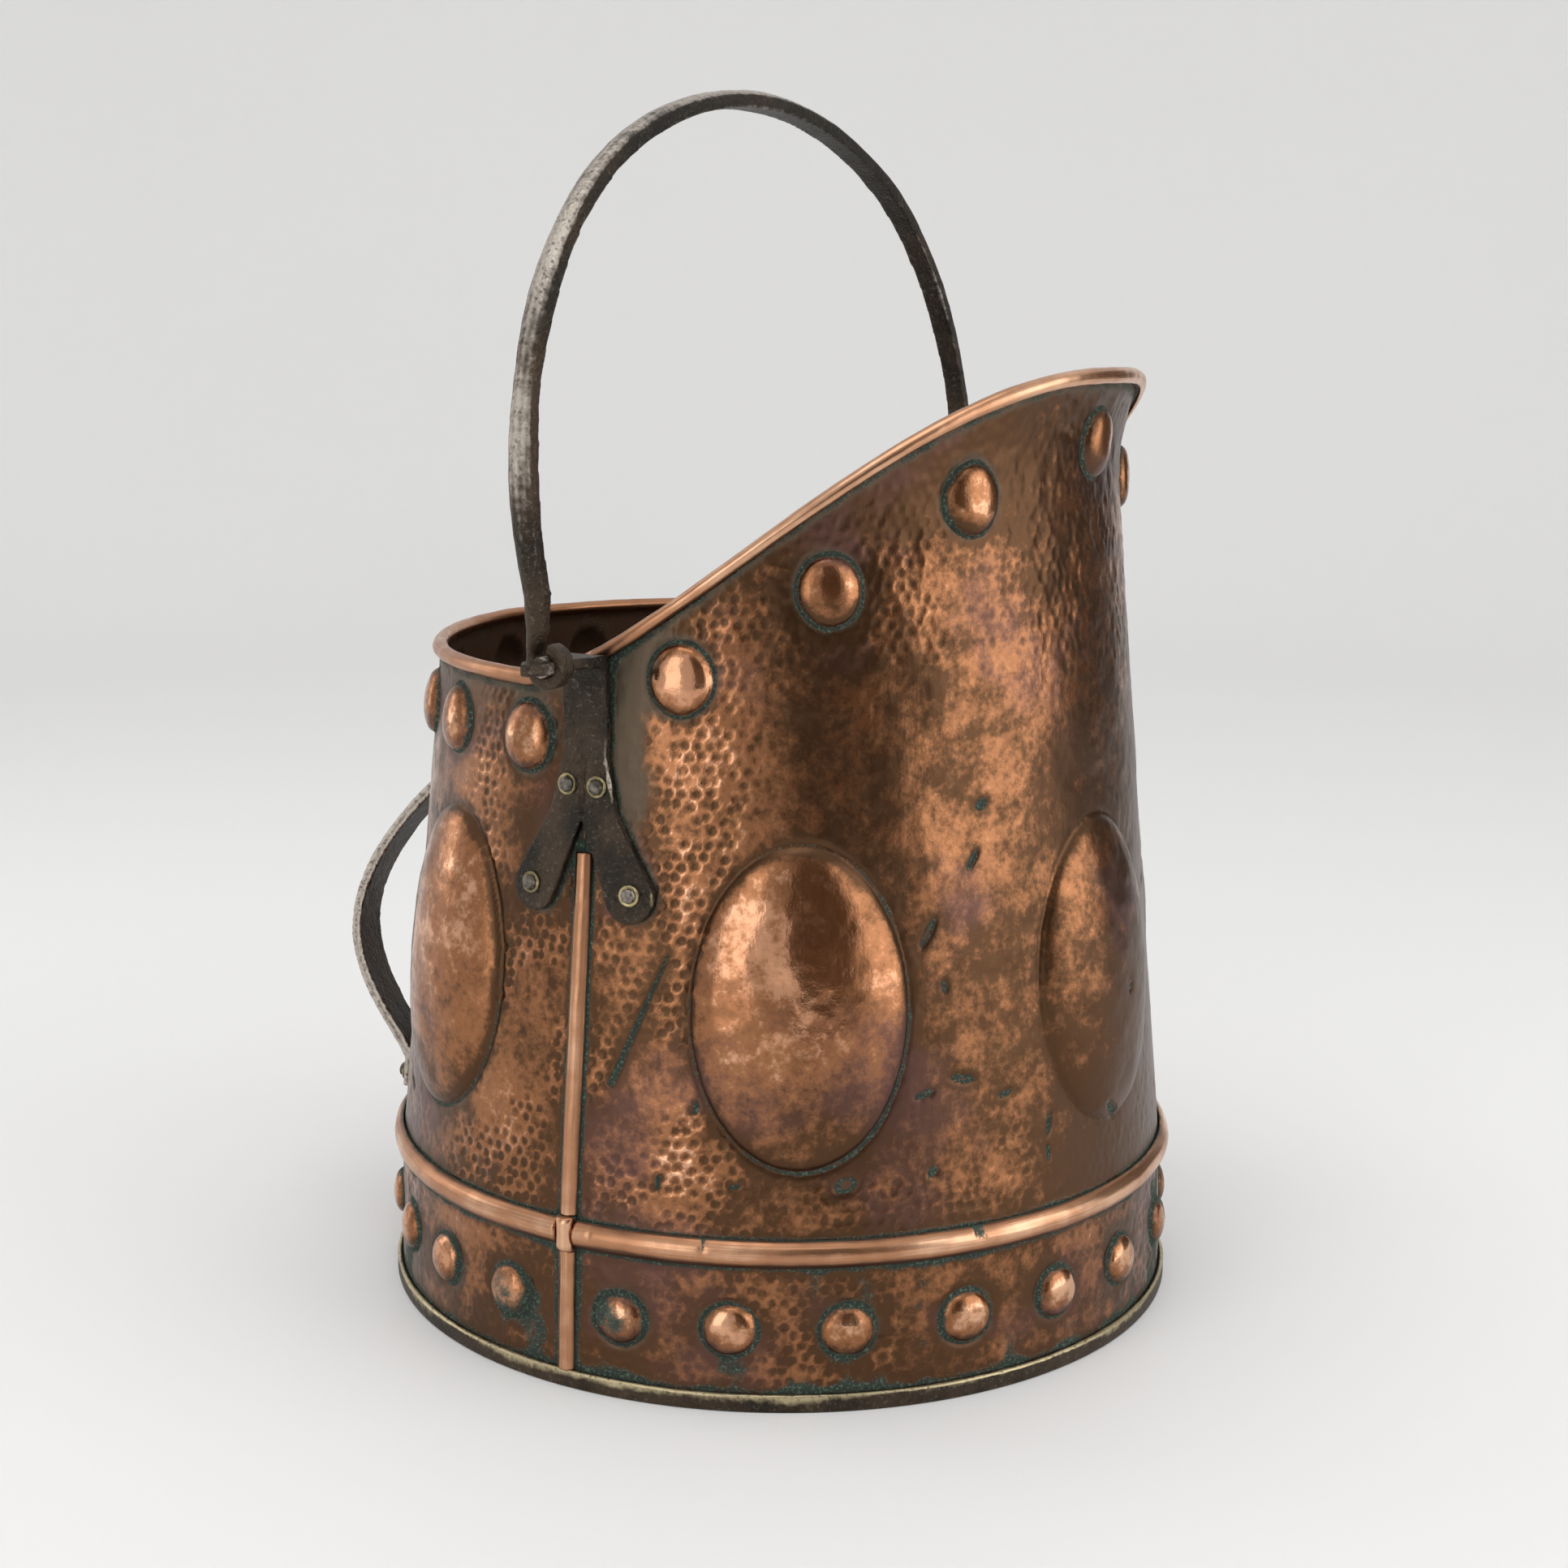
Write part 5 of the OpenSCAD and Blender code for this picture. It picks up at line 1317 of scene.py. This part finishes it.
def build_studio(studio):
    """The floor, the sky, the lamps, the dark panels and the camera."""
    bpy.context.scene.view_settings.view_transform = "Standard"
    add_floor()
    bpy.context.scene.world = bpy.data.worlds.new("Studio sky")
    bpy.context.scene.world.use_nodes = True
    sky = bpy.context.scene.world.node_tree.nodes["Background"].inputs
    sky["Color"].default_value, sky["Strength"].default_value = (1, 1, 1, 1), studio.surround
    for name, place in LAMPS.items():
        add_softbox(f"{name}_softbox", *place, getattr(studio, name))
    cloth = cloth_material()
    for name, place in PANELS.items():
        add_panel(name, *place, cloth)
    add_camera(studio)


# Operators and panel --------------------------------------------------------------------------------------------

class SCUTTLE_OT_sheets(bpy.types.Operator):
    """Builds the hammered front and back sheets of the body"""

    bl_idname = "scuttle.sheets"
    bl_label = "Body sheets"

    def execute(self, context):
        sizes, finish = context.scene.scuttle_sizes, context.scene.scuttle_finish
        build_sheet("front_sheet_hammered", "front_sheet", -90, FRONT_OVALS, FRONT_BOSSES, sizes, finish)
        build_sheet("back_sheet_hammered", "back_sheet", 90, BACK_OVALS, BACK_BOSSES, sizes, finish)
        return {"FINISHED"}


class SCUTTLE_OT_foot(bpy.types.Operator):
    """Builds the foot bands and the hoop"""

    bl_idname = "scuttle.foot"
    bl_label = "Foot"

    def execute(self, context):
        sizes, finish = context.scene.scuttle_sizes, context.scene.scuttle_finish
        build_foot_band("foot_band_front_embossed", "foot_band_front", -90, FRONT_FOOT_BOSSES, sizes, finish)
        build_foot_band("foot_band_back_embossed", "foot_band_back", 90, BACK_FOOT_BOSSES, sizes, finish)
        build_hoop(sizes)
        return {"FINISHED"}


class SCUTTLE_OT_trim(bpy.types.Operator):
    """Builds the waist bead, the seam and foot strips and the collars"""

    bl_idname = "scuttle.trim"
    bl_label = "Trim"

    def execute(self, context):
        sizes = context.scene.scuttle_sizes
        form, gap = Form(sizes), sizes.seat_gap
        build_bead("waist_bead_front_worn", "waist_bead_front", -90, sizes)
        build_bead("waist_bead_back_worn", "waist_bead_back", 90, sizes)
        low, high = sizes.waist_z - sizes.collar_h / 2 - gap, sizes.waist_z + sizes.collar_h / 2 + gap
        for side, word in ((-1, "right"), (1, "left")):
            build_strip(f"seam_strip_{word}_worn", f"seam_strip_{word}", side, high, form.strip_top_z, sizes)
            build_strip(f"foot_strip_{word}_worn", f"foot_strip_{word}", side, sizes.hoop_h + gap, low, sizes)
            build_collar(f"collar_{word}_worn", f"collar_{word}", side, sizes)
        return {"FINISHED"}


class SCUTTLE_OT_lugs(bpy.types.Operator):
    """Builds the two forged lug straps and their rivets"""

    bl_idname = "scuttle.lugs"
    bl_label = "Lugs"

    def execute(self, context):
        sizes, finish = context.scene.scuttle_sizes, context.scene.scuttle_finish
        form = Form(sizes)
        for side, word in ((-1, "right"), (1, "left")):
            build_lug(f"lug_{word}_forged", f"lug_{word}", sizes, finish)
            places = [form.rivet_frame(*r) for r in form.lug_rivets(side)]
            build_rivets(f"lug_rivets_{word}_set", f"lug_rivets_{word}", places, sizes.lug_t, RIVET_SEED + side,
                         sizes)
        return {"FINISHED"}


class SCUTTLE_OT_bail(bpy.types.Operator):
    """Builds the forged bail"""

    bl_idname = "scuttle.bail"
    bl_label = "Bail"

    def execute(self, context):
        build_bail(context.scene.scuttle_sizes, context.scene.scuttle_finish)
        return {"FINISHED"}


class SCUTTLE_OT_back_handle(bpy.types.Operator):
    """Builds the forged handle at the back and its rivets"""

    bl_idname = "scuttle.back_handle"
    bl_label = "Back handle"

    def execute(self, context):
        sizes, finish = context.scene.scuttle_sizes, context.scene.scuttle_finish
        build_back_handle(sizes, finish)
        form = Form(sizes)
        places = [form.rivet_frame(*r) for r in form.grip_rivets()]
        build_rivets("handle_rivets_set", "handle_rivets", places, sizes.grip_t, GRIP_RIVET_SEED, sizes)
        return {"FINISHED"}


class SCUTTLE_OT_hidden(bpy.types.Operator):
    """Finishes the CAD parts that keep their own shape"""

    bl_idname = "scuttle.hidden"
    bl_label = "Base, wire and burrs"

    def execute(self, context):
        kept = {"rim_wire": "Hidden wire iron", "base_plate": "Inner copper", "lug_burrs_right": "Rivet brass",
                "lug_burrs_left": "Rivet brass", "handle_burrs": "Rivet brass"}
        for node, name in kept.items():
            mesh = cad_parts[node].data
            mesh.materials.clear()
            mesh.materials.append(metal(name))
        return {"FINISHED"}


class SCUTTLE_OT_studio(bpy.types.Operator):
    """Sets up the pale studio, its lamps and the camera"""

    bl_idname = "scuttle.studio"
    bl_label = "Studio"

    def execute(self, context):
        build_studio(context.scene.scuttle_studio)
        return {"FINISHED"}


class SCUTTLE_PT_panel(bpy.types.Panel):
    """Lists the steps in the order in which they run"""

    bl_idname = "SCUTTLE_PT_panel"
    bl_label = "Coal scuttle"
    bl_space_type = "VIEW_3D"
    bl_region_type = "UI"
    bl_category = "Scuttle"

    def draw(self, context):
        for step in STEPS:
            self.layout.operator(step.bl_idname)


STEPS = (SCUTTLE_OT_sheets, SCUTTLE_OT_foot, SCUTTLE_OT_trim, SCUTTLE_OT_lugs, SCUTTLE_OT_bail,
         SCUTTLE_OT_back_handle, SCUTTLE_OT_hidden, SCUTTLE_OT_studio)
CLASSES = (ScuttleSizes, ScuttleFinish, ScuttleStudio, *STEPS, SCUTTLE_PT_panel)


def register():
    for made in CLASSES:
        bpy.utils.register_class(made)
    bpy.types.Scene.scuttle_sizes = PointerProperty(type=ScuttleSizes)
    bpy.types.Scene.scuttle_finish = PointerProperty(type=ScuttleFinish)
    bpy.types.Scene.scuttle_studio = PointerProperty(type=ScuttleStudio)


def unregister():
    del bpy.types.Scene.scuttle_studio
    del bpy.types.Scene.scuttle_finish
    del bpy.types.Scene.scuttle_sizes
    for made in reversed(CLASSES):
        bpy.utils.unregister_class(made)


def main():
    """Runs every step in order."""
    register()
    for step in STEPS:
        group, name = step.bl_idname.split(".")
        getattr(getattr(bpy.ops, group), name)()


if __name__ == "__main__":
    main()
